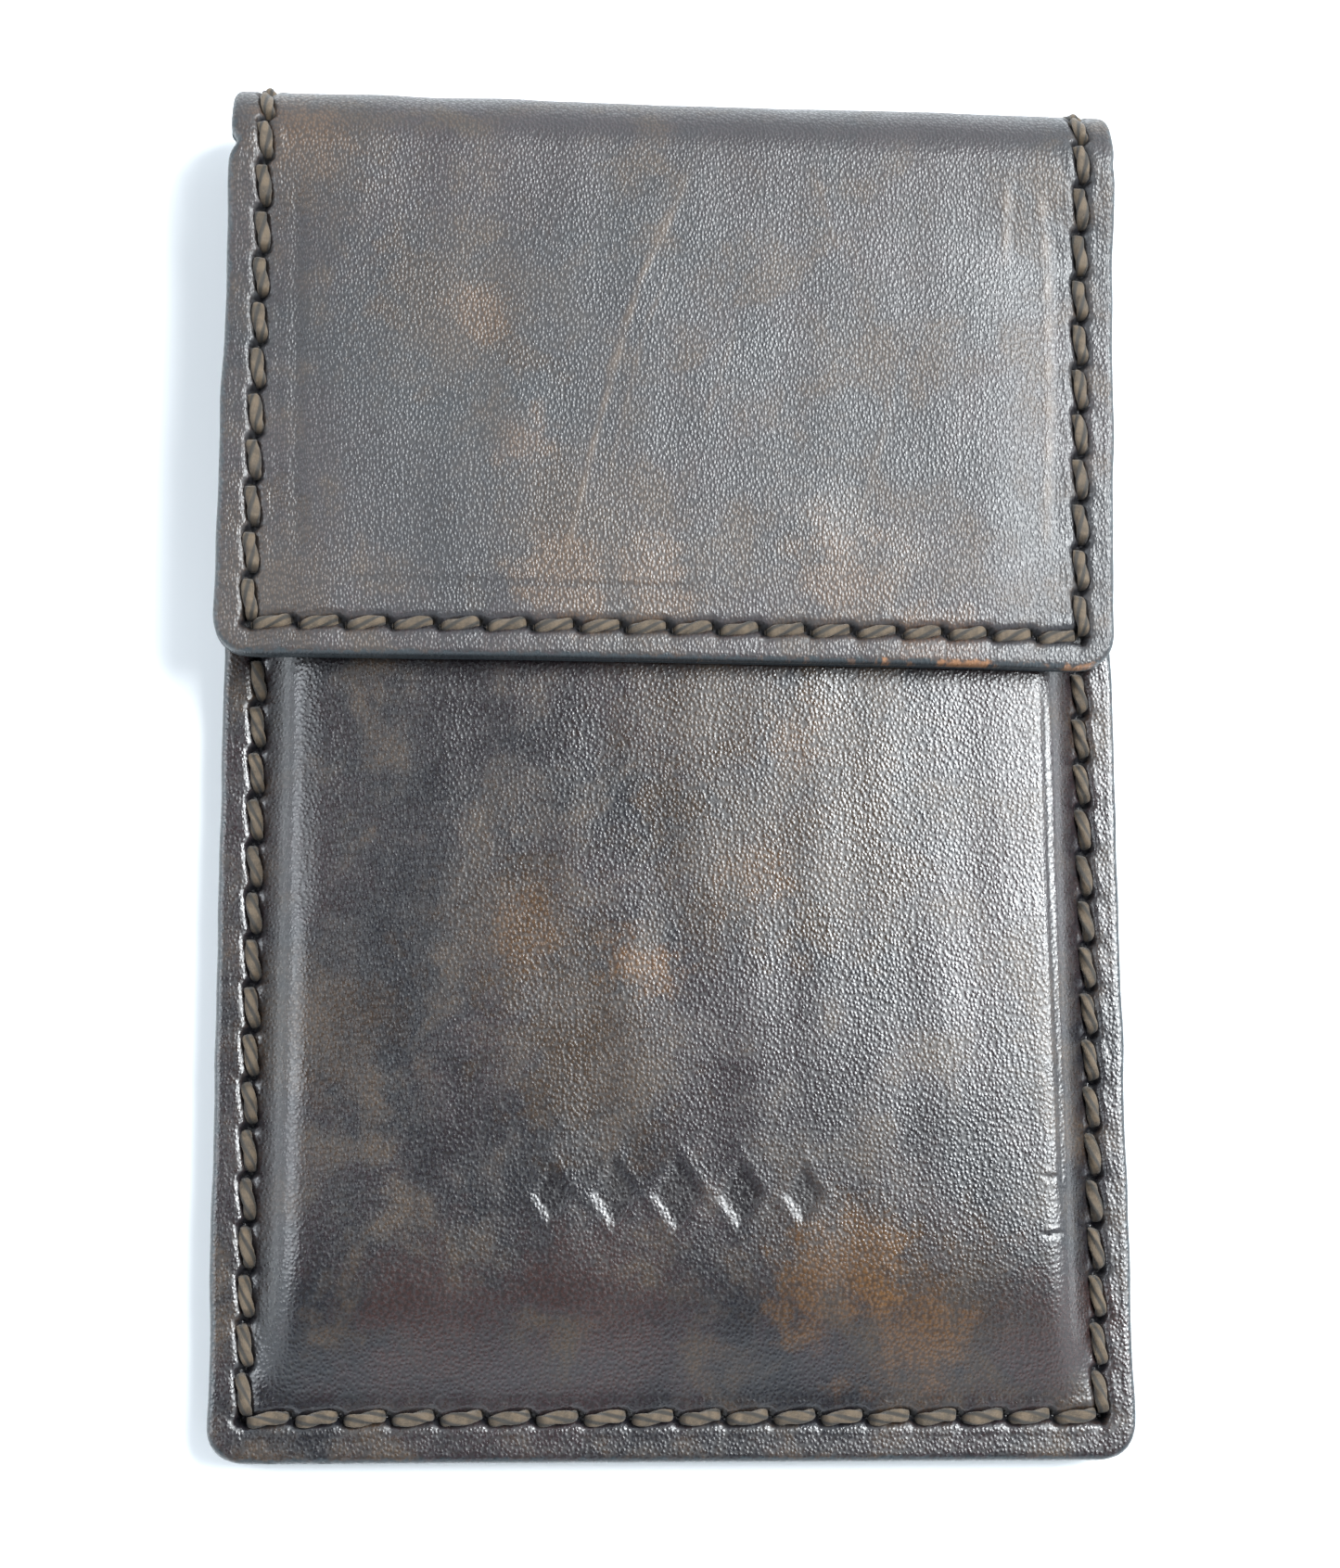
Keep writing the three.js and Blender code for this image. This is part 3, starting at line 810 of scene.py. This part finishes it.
class Rope:
    """Gathers the closed tubes of one run of stitches and makes them one object."""

    def __init__(self):
        self.points = []
        self.quads = []
        self.caps = []
        self.twists = []
        self.count = 0

    def add(self, rings, twist):
        rings = np.asarray(rings)
        n, m = rings.shape[:2]
        index = self.count + np.arange(n * m).reshape(n, m)
        around = np.roll(index, -1, axis=1)
        self.quads.append(np.stack([index[:-1], around[:-1], around[1:], index[1:]], -1).reshape(-1, 4))
        first = self.count + n * m
        self.points.append(np.concatenate([rings.reshape(-1, 3), [rings[0].mean(0)], [rings[-1].mean(0)]]))
        for j in range(m):
            following = (j + 1) % m
            self.caps.append((index[0, following], index[0, j], first))
            self.caps.append((index[-1, j], index[-1, following], first + 1))
        ring_twist = np.stack([np.repeat(twist[:, None], m, 1), np.tile(np.arange(m) / m, (n, 1))], -1)
        ends = np.array([[twist[0], 0], [twist[-1], 0]])
        self.twists.append(np.concatenate([ring_twist.reshape(-1, 2), ends]))
        self.count += n * m + 2

    def make(self, name, material):
        points = np.concatenate(self.points)
        twists = np.concatenate(self.twists)
        place = np.concatenate([twists, np.zeros((len(twists), 1))], 1)
        made = mesh_object(name, points, np.concatenate(self.quads), np.array(self.caps), {"twist": place})
        finish_piece(made, material)
        return made


def stitch_rings(place, across, start, end, along_first, slant, proud, sign, window=(-1, 1), phase=0.0):
    """Rings of one stitch between two holes.

    place turns (across, along, out) into a position. along_first tells seams that run across the
    holder from side seams. proud gives the height of the thread's top at an along value, and sign
    is -1 on an inner face. window is the part of the stitch that is wanted, from -1 to 1.
    """
    u = np.linspace(window[0], window[1], STITCH_RINGS)
    length = end - start
    reach = (length / 2 - HOLE_GAP) * u
    along = (start + end) / 2 + reach
    lateral = slant * u * (1 - 0.12 * u**2)
    narrow = 1 - 0.34 * np.abs(u) ** 4
    dive = DIVE * np.abs(u) ** 8 + 0.06 * u**2
    middle_height = sign * (proud(along) - THREAD_HALF_HEIGHT - dive)
    turn = 2 * math.pi * (along + phase) / TWIST_LENGTH
    angles = np.linspace(0, 2 * math.pi, RING_POINTS, endpoint=False)
    lobes = 1 + 0.17 * np.cos(PLIES * angles[None, :] - turn[:, None])
    wide = THREAD_HALF_WIDTH * narrow[:, None] * lobes * np.cos(angles)
    high = THREAD_HALF_HEIGHT * narrow[:, None] * lobes * np.sin(angles)
    seam = across(along) if callable(across) else np.full_like(along, across)
    side = seam[:, None] + lateral[:, None] + wide
    out = middle_height[:, None] + sign * high
    along_grid = np.repeat(along[:, None], RING_POINTS, 1)
    if along_first:
        return place(along_grid, side, out), along
    return place(side, along_grid, out), along


def left_seam(s):
    return seam_sides(s)[0]


def right_seam(s):
    return seam_sides(s)[1]


def strip_proud(s):
    return np.interp(s, [FOLD_Y - 2, FOLD_Y + 2], [BACK_PROUD, FLAP_PROUD])


def side_stitches(rope, line, low, high, slant, proud, sign, base, place=strip_place):
    """Stitches of one side seam between two along values, cut where they cross those values."""
    for k in range(SIDE_STITCHES):
        start = BODY_SEAM_Y + k * PITCH
        end = start + PITCH
        middle = start + PITCH / 2
        reach = PITCH / 2 - HOLE_GAP
        window = (max(-1, (low - middle) / reach), min(1, (high - middle) / reach))
        if window[0] >= window[1]:
            continue

        def based(x, s, out):
            return place(x, s, out + base(x, s))

        rings, along = stitch_rings(based, line, start, end, False, slant, proud, sign, window, 0.37 * k)
        rope.add(rings, along)


def end_stitches(rope, seam, facing, proud, sign, base, place):
    left, right = (float(value) for value in seam_sides(np.float64(seam)))
    pitch = (right - left) / END_STITCHES

    def based(x, s, out):
        return place(x, s, out + base(x, s))

    for k in range(END_STITCHES):
        start = left + k * pitch
        rings, along = stitch_rings(
            based, seam, start, start + pitch, True, facing * END_SLANT, proud, sign, (-1, 1), 0.37 * k
        )
        rope.add(rings, along)


def make_threads(material):
    mouth_hole = BODY_SEAM_Y + PITCH * math.floor((MOUTH_Y - BODY_SEAM_Y) / PITCH)

    def inner_base(x, s):
        return -INSIDE + strip_bend(x, s)

    def front_base(x, y):
        return np.interp(y, [MOUTH_Y - 0.2, MOUTH_Y + 1.3], [RIM, INSIDE])

    def inner_proud(s):
        return np.full_like(s, INSIDE_PROUD)

    def front_proud(y):
        return np.full_like(y, PANEL_PROUD)

    lines = (left_seam, right_seam)
    front = Rope()
    for line in lines:
        side_stitches(
            front, line, BODY_SEAM_Y, mouth_hole + PITCH,
            -SIDE_SLANT, front_proud, 1, front_base, flat_place,
        )
    end_stitches(front, BODY_SEAM_Y, 1, front_proud, 1, front_base, flat_place)
    front_thread = front.make("pocket_front_stitches", material)
    inside = Rope()
    for line in lines:
        side_stitches(inside, line, mouth_hole + PITCH, FOLD_Y, SIDE_SLANT, inner_proud, -1, inner_base)
    inside_thread = inside.make("pocket_inner_stitches", material)
    back = Rope()
    for line in lines:
        side_stitches(back, line, BODY_SEAM_Y, FOLD_Y, SIDE_SLANT, strip_proud, 1, strip_bend)
    end_stitches(back, BODY_SEAM_Y, 1, strip_proud, 1, strip_bend, strip_place)
    back_thread = back.make("back_stitches", material)
    for thread in (front_thread, inside_thread, back_thread):
        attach(thread, "pocket")
        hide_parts("body_seam_thread")
    for i in range(FOLD_PARTS):
        for side, line in zip(("left", "right"), lines):
            for face, proud, sign, base in (
                ("outer", strip_proud, 1, strip_bend),
                ("inner", inner_proud, -1, inner_base),
            ):
                part = Rope()
                side_stitches(
                    part, line, fold_cut(i), fold_cut(i + 1), SIDE_SLANT, proud, sign, base
                )
                thread = part.make(f"fold_{face}_stitches_{side}_{i + 1}", material)
                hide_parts(f"fold_stitch_{side}_{FOLD_STRIPS[i]}")
                bend_over_fold(thread, i)
    flap = Rope()
    for proud, sign, base in ((strip_proud, 1, strip_bend), (inner_proud, -1, inner_base)):
        for line in lines:
            side_stitches(flap, line, FLAP_START, FLAP_SEAM_S, SIDE_SLANT, proud, sign, base)
        end_stitches(flap, FLAP_SEAM_S, -1, proud, sign, base, strip_place)
    flap_thread = flap.make("flap_stitches", material)
    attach(flap_thread, "flap")
    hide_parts("flap_seam_thread")


# ---------------------------------------------------------------- materials

class Nodes:
    """Small helpers that keep a node tree readable."""

    def __init__(self, name):
        self.material = bpy.data.materials.new(name)
        self.material.use_nodes = True
        self.tree = self.material.node_tree
        self.shader = self.tree.nodes["Principled BSDF"]

    def link(self, source, target):
        self.tree.links.new(source, target)

    def feed(self, node, key, value):
        socket = node.inputs[key]
        if isinstance(value, bpy.types.NodeSocket):
            self.link(value, socket)
        else:
            socket.default_value = value

    def attribute(self, name, output="Fac"):
        node = self.tree.nodes.new("ShaderNodeAttribute")
        node.attribute_name = name
        return node.outputs[output]

    def noise(self, vector, scale, detail=3.0, roughness=0.55, distortion=0.0):
        node = self.tree.nodes.new("ShaderNodeTexNoise")
        self.link(vector, node.inputs["Vector"])
        node.noise_dimensions = "2D"
        node.inputs["Scale"].default_value = scale
        node.inputs["Detail"].default_value = detail
        node.inputs["Roughness"].default_value = roughness
        node.inputs["Distortion"].default_value = distortion
        return node

    def cells(self, vector, scale):
        node = self.tree.nodes.new("ShaderNodeTexVoronoi")
        node.voronoi_dimensions = "2D"
        self.link(vector, node.inputs["Vector"])
        node.inputs["Scale"].default_value = scale
        return node.outputs["Distance"]

    def scaled(self, vector, factors):
        node = self.tree.nodes.new("ShaderNodeVectorMath")
        node.operation = "MULTIPLY"
        self.link(vector, node.inputs[0])
        node.inputs[1].default_value = factors
        return node.outputs["Vector"]

    def maths(self, operation, a, b=0.0, clamp=False):
        node = self.tree.nodes.new("ShaderNodeMath")
        node.operation = operation
        node.use_clamp = clamp
        self.feed(node, 0, a)
        self.feed(node, 1, b)
        return node.outputs[0]

    def range(self, value, low, high, to_low=0.0, to_high=1.0):
        node = self.tree.nodes.new("ShaderNodeMapRange")
        node.interpolation_type = "SMOOTHSTEP"
        self.feed(node, "Value", value)
        node.inputs["From Min"].default_value = low
        node.inputs["From Max"].default_value = high
        node.inputs["To Min"].default_value = to_low
        node.inputs["To Max"].default_value = to_high
        return node.outputs["Result"]

    def mix(self, factor, a, b, blend="MIX"):
        node = self.tree.nodes.new("ShaderNodeMix")
        node.data_type = "RGBA"
        node.blend_type = blend
        self.feed(node, "Factor", factor)
        for key, value in (("A", a), ("B", b)):
            socket = next(s for s in node.inputs if s.name == key and s.type == "RGBA")
            if isinstance(value, bpy.types.NodeSocket):
                self.link(value, socket)
            else:
                socket.default_value = (*value, 1.0)
        return next(s for s in node.outputs if s.type == "RGBA")

    def spot(self, vector, centre, radius, wobble):
        """1 in the middle of a soft patch, 0 outside it, with a broken edge."""
        node = self.tree.nodes.new("ShaderNodeVectorMath")
        node.operation = "DISTANCE"
        self.link(vector, node.inputs[0])
        node.inputs[1].default_value = (*centre, 0.0)
        share = self.maths("DIVIDE", node.outputs["Value"], radius)
        ragged = self.maths("ADD", share, wobble)
        return self.range(ragged, 0.25, 1.15, 1.0, 0.0)

    def bump(self, height, distance, strength=1.0, normal=None):
        node = self.tree.nodes.new("ShaderNodeBump")
        node.inputs["Strength"].default_value = strength
        node.inputs["Distance"].default_value = distance
        self.link(height, node.inputs["Height"])
        if normal is not None:
            self.link(normal, node.inputs["Normal"])
        return node.outputs["Normal"]


DARK = (0.006, 0.006, 0.009)
PLUM = (0.022, 0.013, 0.015)
BROWN = (0.040, 0.023, 0.012)
SLATE = (0.018, 0.021, 0.025)
TAN = (0.145, 0.068, 0.022)
RUST = (0.040, 0.019, 0.016)
PAINT = (0.010, 0.016, 0.020)
RAW = (0.300, 0.135, 0.050)
RAW_SHADE = (0.100, 0.045, 0.020)
# Painted shade in the valleys between the grain's pebbles
PAINTED_GRAIN_SHADE = (0.003, 0.003, 0.004)
# Painted shade in the pressed lines and the ornament's sunk floors
PAINTED_GROOVE_SHADE = (0.005, 0.004, 0.005)
# Painted shade in and round the stitch holes
PAINTED_HOLE_SHADE = (0.004, 0.004, 0.006)
# Painted highlight: light specks that stand in for glints on the grain
PAINTED_GLINT_SPECK = (0.040, 0.032, 0.027)
# Painted highlight along the crests of the flap's wrinkles
PAINTED_CREASE_HIGHLIGHT = (0.110, 0.078, 0.055)
LINING_DARK = (0.020, 0.014, 0.011)
LINING_LIGHT = (0.044, 0.029, 0.021)
LINING_FIBRE = (0.080, 0.055, 0.040)
THREAD_DARK = (0.040, 0.026, 0.013)
THREAD_LIGHT = (0.090, 0.061, 0.034)
THREAD_FIBRE = (0.160, 0.120, 0.075)
# Painted shade in the grooves between the thread's plies
PAINTED_PLY_SHADE = (0.010, 0.008, 0.005)


def flap_spot(x, y):
    return (x, FLAP_START + FOLD_Y - y)


def front_spot(x, y):
    return (x, y + FRONT_GRAIN_SHIFT)


# Each patch: colour, strength, radius and centres as places on the closed holder
FLAP_PATCHES = [
    (SLATE, 0.55, 15, [(-18, 24), (-8, 33)]),
    (PLUM, 0.60, 9, [(-31, 40), (-31, 20), (20, 47), (-12, 46), (6, 47)]),
    (DARK, 0.55, 8, [(-9, 15), (-17, 16), (-4, 26)]),
    (BROWN, 0.75, 7, [(-16.3, 33), (-3.1, 12.5), (-8, 17), (13, 13.5), (-31, 12), (-28, 46)]),
    (TAN, 0.28, 4, [(-8.5, 12.5), (-2, 12.3), (12.5, 13), (19, 8), (-28, 47)]),
    (TAN, 0.30, 2.6, [(-12.1, 23.4), (-15.5, 33)]),
]
FRONT_PATCHES = [
    (DARK, 0.60, 11, [(-17, 0), (-20, -12), (6, -16), (-10, -30), (10, -28)]),
    (PLUM, 0.60, 9, [(-31, -5), (-31, -30), (29, -43), (-16, -44), (3, -20), (25, 3)]),
    (BROWN, 0.80, 7, [(11.7, 1), (4.7, -8), (-11.7, -13), (-7, -20), (2, 3), (12, -8)]),
    (BROWN, 0.70, 6, [(11.4, -36.3), (20, -40), (-6, -24), (-27, -20)]),
    (RUST, 0.60, 6, [(-6.1, -39.6), (28, -43), (-18, -40)]),
    (TAN, 0.55, 3.0, [(-2.8, -15.5)]),
    (TAN, 0.42, 5.0, [(18.1, -42.6), (12, -38)]),
    (TAN, 0.26, 3.5, [(5.5, -8.5), (-11.5, -13), (9, 1.5)]),
]


def leather_material(name, patches, spot_place, grain, relief, gloss):
    """Mottled waxed leather.

    grain gives pebbles per millimetre across and along, relief their height in metres, and gloss
    the roughness of the smoothest places. Patches are placed on the closed holder by spot_place.
    """
    n = Nodes(name)
    place = n.attribute("place", "Vector")
    broad = n.noise(place, 0.055, 5.0, 0.6, 0.4)
    cloud = n.noise(place, 0.16, 6.0, 0.62, 0.2)
    mist = n.noise(place, 0.55, 5.0, 0.6)
    speck = n.noise(place, 3.4, 2.0, 0.5)
    colour = n.mix(n.range(broad.outputs["Fac"], 0.40, 0.62), DARK, PLUM)
    colour = n.mix(n.range(cloud.outputs["Fac"], 0.46, 0.70), colour, BROWN)
    colour = n.mix(n.range(mist.outputs["Fac"], 0.52, 0.75, 0.0, 0.35), colour, SLATE)
    wobble = n.range(cloud.outputs["Fac"], 0.25, 0.75, -0.45, 0.45)
    fine_wobble = n.range(mist.outputs["Fac"], 0.25, 0.75, -0.30, 0.30)
    ragged = n.maths("ADD", wobble, fine_wobble)
    for tint, strength, radius, centres in patches:
        for centre in centres:
            mask = n.spot(place, spot_place(*centre), radius, ragged)
            colour = n.mix(n.maths("MULTIPLY", mask, strength), colour, tint)
    pebble = n.range(n.cells(n.scaled(place, (*grain, 1.0)), 1.0), 0.05, 0.66, 1.0, 0.0)
    valley = n.maths("SUBTRACT", 1.0, pebble)
    # Painted shade darkens the valleys between pebbles
    colour = n.mix(n.maths("MULTIPLY", valley, 0.60), colour, PAINTED_GRAIN_SHADE)
    # Painted highlight: light specks that stand in for glints on the grain
    colour = n.mix(n.range(speck.outputs["Fac"], 0.45, 0.75, 0.0, 0.22), colour, PAINTED_GLINT_SPECK)
    press = n.attribute("press")
    # Painted shade in the pressed lines and the ornament's sunk floors
    colour = n.mix(n.maths("MULTIPLY", press, 0.70), colour, PAINTED_GROOVE_SHADE)
    crease = n.attribute("crease")
    # Painted highlight along the crests of the flap's wrinkles
    colour = n.mix(n.maths("MULTIPLY", crease, 0.60), colour, PAINTED_CREASE_HIGHLIGHT)
    hole = n.attribute("hole")
    # Painted shade in and round the stitch holes
    colour = n.mix(n.range(hole, 0.12, 0.60), colour, PAINTED_HOLE_SHADE)
    rim = n.attribute("rim")
    edge_noise = n.noise(place, 1.3, 4.0, 0.6)
    ragged_rim = n.maths("ADD", rim, n.range(edge_noise.outputs["Fac"], 0.2, 0.8, -0.22, 0.22))
    paint = n.range(ragged_rim, 0.14, 0.42, 1.0, 0.0)
    worn = n.attribute("worn")
    worn_noise = n.noise(place, 0.9, 5.0, 0.65)
    worn_mask = n.range(
        n.maths("ADD", worn, n.range(worn_noise.outputs["Fac"], 0.25, 0.75, -0.35, 0.35)), 0.35, 0.75
    )
    raw = n.mix(edge_noise.outputs["Fac"], RAW, RAW_SHADE)
    edge_colour = n.mix(worn_mask, PAINT, raw)
    colour = n.mix(paint, colour, edge_colour)
    n.link(colour, n.shader.inputs["Base Color"])
    rough = n.range(cloud.outputs["Fac"], 0.3, 0.7, gloss - 0.05, gloss + 0.07)
    rough = n.maths("ADD", rough, n.range(speck.outputs["Fac"], 0.35, 0.65, 0.16, 0.0))
    rough = n.maths("ADD", rough, n.maths("MULTIPLY", valley, 0.12))
    n.link(rough, n.shader.inputs["Roughness"])
    n.shader.inputs["Specular IOR Level"].default_value = 0.75
    n.shader.inputs["Coat Weight"].default_value = 0.20
    n.shader.inputs["Coat Roughness"].default_value = 0.26
    wrinkle = n.noise(place, 1.1, 4.0, 0.6)
    soft = n.bump(wrinkle.outputs["Fac"], 0.00005, 0.5)
    grained = n.bump(pebble, relief, 1.0, soft)
    fine = n.bump(speck.outputs["Fac"], 0.000018, 0.5, grained)
    n.link(fine, n.shader.inputs["Normal"])
    n.link(fine, n.shader.inputs["Coat Normal"])
    return n.material


def lining_material():
    n = Nodes("lining_leather")
    place = n.attribute("place", "Vector")
    cloud = n.noise(place, 0.14, 5.0, 0.6)
    fibre = n.noise(place, 4.5, 3.0, 0.6)
    colour = n.mix(cloud.outputs["Fac"], LINING_DARK, LINING_LIGHT)
    colour = n.mix(n.range(fibre.outputs["Fac"], 0.4, 0.8, 0.0, 0.4), colour, LINING_FIBRE)
    hole = n.attribute("hole")
    # Painted shade in and round the stitch holes
    colour = n.mix(n.range(hole, 0.12, 0.60), colour, PAINTED_HOLE_SHADE)
    rim = n.attribute("rim")
    colour = n.mix(n.range(rim, 0.10, 0.35, 1.0, 0.0), colour, PAINT)
    n.link(colour, n.shader.inputs["Base Color"])
    n.link(n.range(fibre.outputs["Fac"], 0.3, 0.7, 0.55, 0.68), n.shader.inputs["Roughness"])
    n.link(n.bump(fibre.outputs["Fac"], 0.00012, 0.6), n.shader.inputs["Normal"])
    return n.material


def thread_material():
    n = Nodes("waxed_thread")
    twist = n.attribute("twist", "Vector")
    split = n.tree.nodes.new("ShaderNodeSeparateXYZ")
    n.link(twist, split.inputs[0])
    turns = n.maths("MULTIPLY", split.outputs["X"], 1.0 / TWIST_LENGTH)
    around = n.maths("MULTIPLY", split.outputs["Y"], float(PLIES))
    wave = n.maths("SINE", n.maths("MULTIPLY", n.maths("SUBTRACT", around, turns), 2 * math.pi))
    along = n.noise(twist, 1.1, 3.0, 0.6)
    fibre = n.noise(n.scaled(twist, (2.0, 26.0, 1.0)), 2.2, 3.0, 0.7)
    colour = n.mix(n.range(along.outputs["Fac"], 0.3, 0.7), THREAD_DARK, THREAD_LIGHT)
    colour = n.mix(n.range(fibre.outputs["Fac"], 0.45, 0.8, 0.0, 0.6), colour, THREAD_FIBRE)
    # Painted shade in the grooves between the thread's plies
    colour = n.mix(n.range(wave, -1.0, 0.1, 0.92, 0.0), colour, PAINTED_PLY_SHADE)
    n.link(colour, n.shader.inputs["Base Color"])
    n.shader.inputs["Roughness"].default_value = 0.62
    n.shader.inputs["Sheen Weight"].default_value = 0.15
    n.link(n.bump(fibre.outputs["Fac"], 0.00008, 0.7), n.shader.inputs["Normal"])
    return n.material


# ---------------------------------------------------------------- stage, light and camera

def floor_material():
    n = Nodes("pale_floor")
    n.shader.inputs["Base Color"].default_value = (0.90, 0.92, 0.93, 1.0)
    n.shader.inputs["Roughness"].default_value = 0.7
    n.shader.inputs["Specular IOR Level"].default_value = 0.1
    return n.material


def make_floor():
    half = 1.5
    level = -0.0001
    mesh = bpy.data.meshes.new("floor")
    corners = [(-half, -half, level), (half, -half, level), (half, half, level), (-half, half, level)]
    mesh.from_pydata(corners, [], [(0, 1, 2, 3)])
    floor = bpy.data.objects.new("floor", mesh)
    bpy.context.scene.collection.objects.link(floor)
    mesh.materials.append(floor_material())


# The room is bright half-way up, dimmer near the horizon and dark overhead
BAND_LOW = 0.42
BAND_HIGH = 0.50
ZENITH = 0.86
HORIZON_SHARE = 0.45
BAND_LIGHT = 1.70
ZENITH_LIGHT = 0.07


def make_world():
    world = bpy.data.worlds.new("soft_room")
    world.use_nodes = True
    tree = world.node_tree
    back = tree.nodes["Background"]
    back.inputs["Color"].default_value = (0.84, 0.92, 1.0, 1.0)
    direction = tree.nodes.new("ShaderNodeTexCoord")
    split = tree.nodes.new("ShaderNodeSeparateXYZ")
    tree.links.new(direction.outputs["Generated"], split.inputs[0])
    product = tree.nodes.new("ShaderNodeMath")
    product.operation = "MULTIPLY"
    for i, (low, high, at_low, at_high) in enumerate((
        (0.0, BAND_LOW, HORIZON_SHARE, 1.0),
        (BAND_HIGH, ZENITH, BAND_LIGHT, ZENITH_LIGHT),
    )):
        strength = tree.nodes.new("ShaderNodeMapRange")
        strength.interpolation_type = "SMOOTHSTEP"
        tree.links.new(split.outputs["Z"], strength.inputs["Value"])
        strength.inputs["From Min"].default_value = low
        strength.inputs["From Max"].default_value = high
        strength.inputs["To Min"].default_value = at_low
        strength.inputs["To Max"].default_value = at_high
        tree.links.new(strength.outputs["Result"], product.inputs[i])
    tree.links.new(product.outputs["Value"], back.inputs["Strength"])
    bpy.context.scene.world = world


def area_light(name, place, target, size, power, colour):
    light = bpy.data.lights.new(name, "AREA")
    light.shape = "RECTANGLE"
    light.size = size[0]
    light.size_y = size[1]
    light.energy = power
    light.color = colour
    lamp = bpy.data.objects.new(name, light)
    direction = Vector(target) - Vector(place)
    lamp.matrix_world = Matrix.Translation(place) @ direction.to_track_quat("-Z", "Y").to_matrix().to_4x4()
    bpy.context.scene.collection.objects.link(lamp)


def make_lights():
    area_light("window", (0.44, 0.18, 0.60), (0.02, 0.01, 0.0), (0.46, 0.42), 14.5, (0.94, 0.98, 1.0))
    area_light("reflector", (-0.42, 0.02, 0.36), (0.0, 0.0, 0.0), (0.24, 0.50), 1.8, (0.90, 0.95, 1.0))


CAMERA_PLACE = (-0.0206, -0.0383, 0.2373)
CAMERA_DIRECTION = (0.08565, 0.1552, -0.98416)
CAMERA_LENS = 72.38


def make_camera():
    camera = bpy.data.cameras.new("camera")
    camera.sensor_width = 36
    camera.lens = CAMERA_LENS
    camera.clip_start = 0.01
    view = bpy.data.objects.new("camera", camera)
    forward = Vector(CAMERA_DIRECTION).normalized()
    right = forward.cross(Vector((0, 1, 0))).normalized()
    up = right.cross(forward)
    turn = Matrix((right, up, -forward)).transposed().to_4x4()
    view.matrix_world = Matrix.Translation(CAMERA_PLACE) @ turn
    bpy.context.scene.collection.objects.link(view)
    bpy.context.scene.camera = view


bpy.context.scene.view_settings.view_transform = "Standard"
make_camera()
make_world()
make_lights()
make_floor()
strip_leather = leather_material(
    "flap_outer_leather", FLAP_PATCHES, flap_spot, grain=(4.2, 2.7), relief=0.000022, gloss=0.36
)
front_leather = leather_material(
    "front_outer_leather", FRONT_PATCHES, front_spot, grain=(3.4, 3.0), relief=0.000017, gloss=0.19
)
make_strip(strip_leather, lining_material())
make_front(front_leather)
make_threads(thread_material())
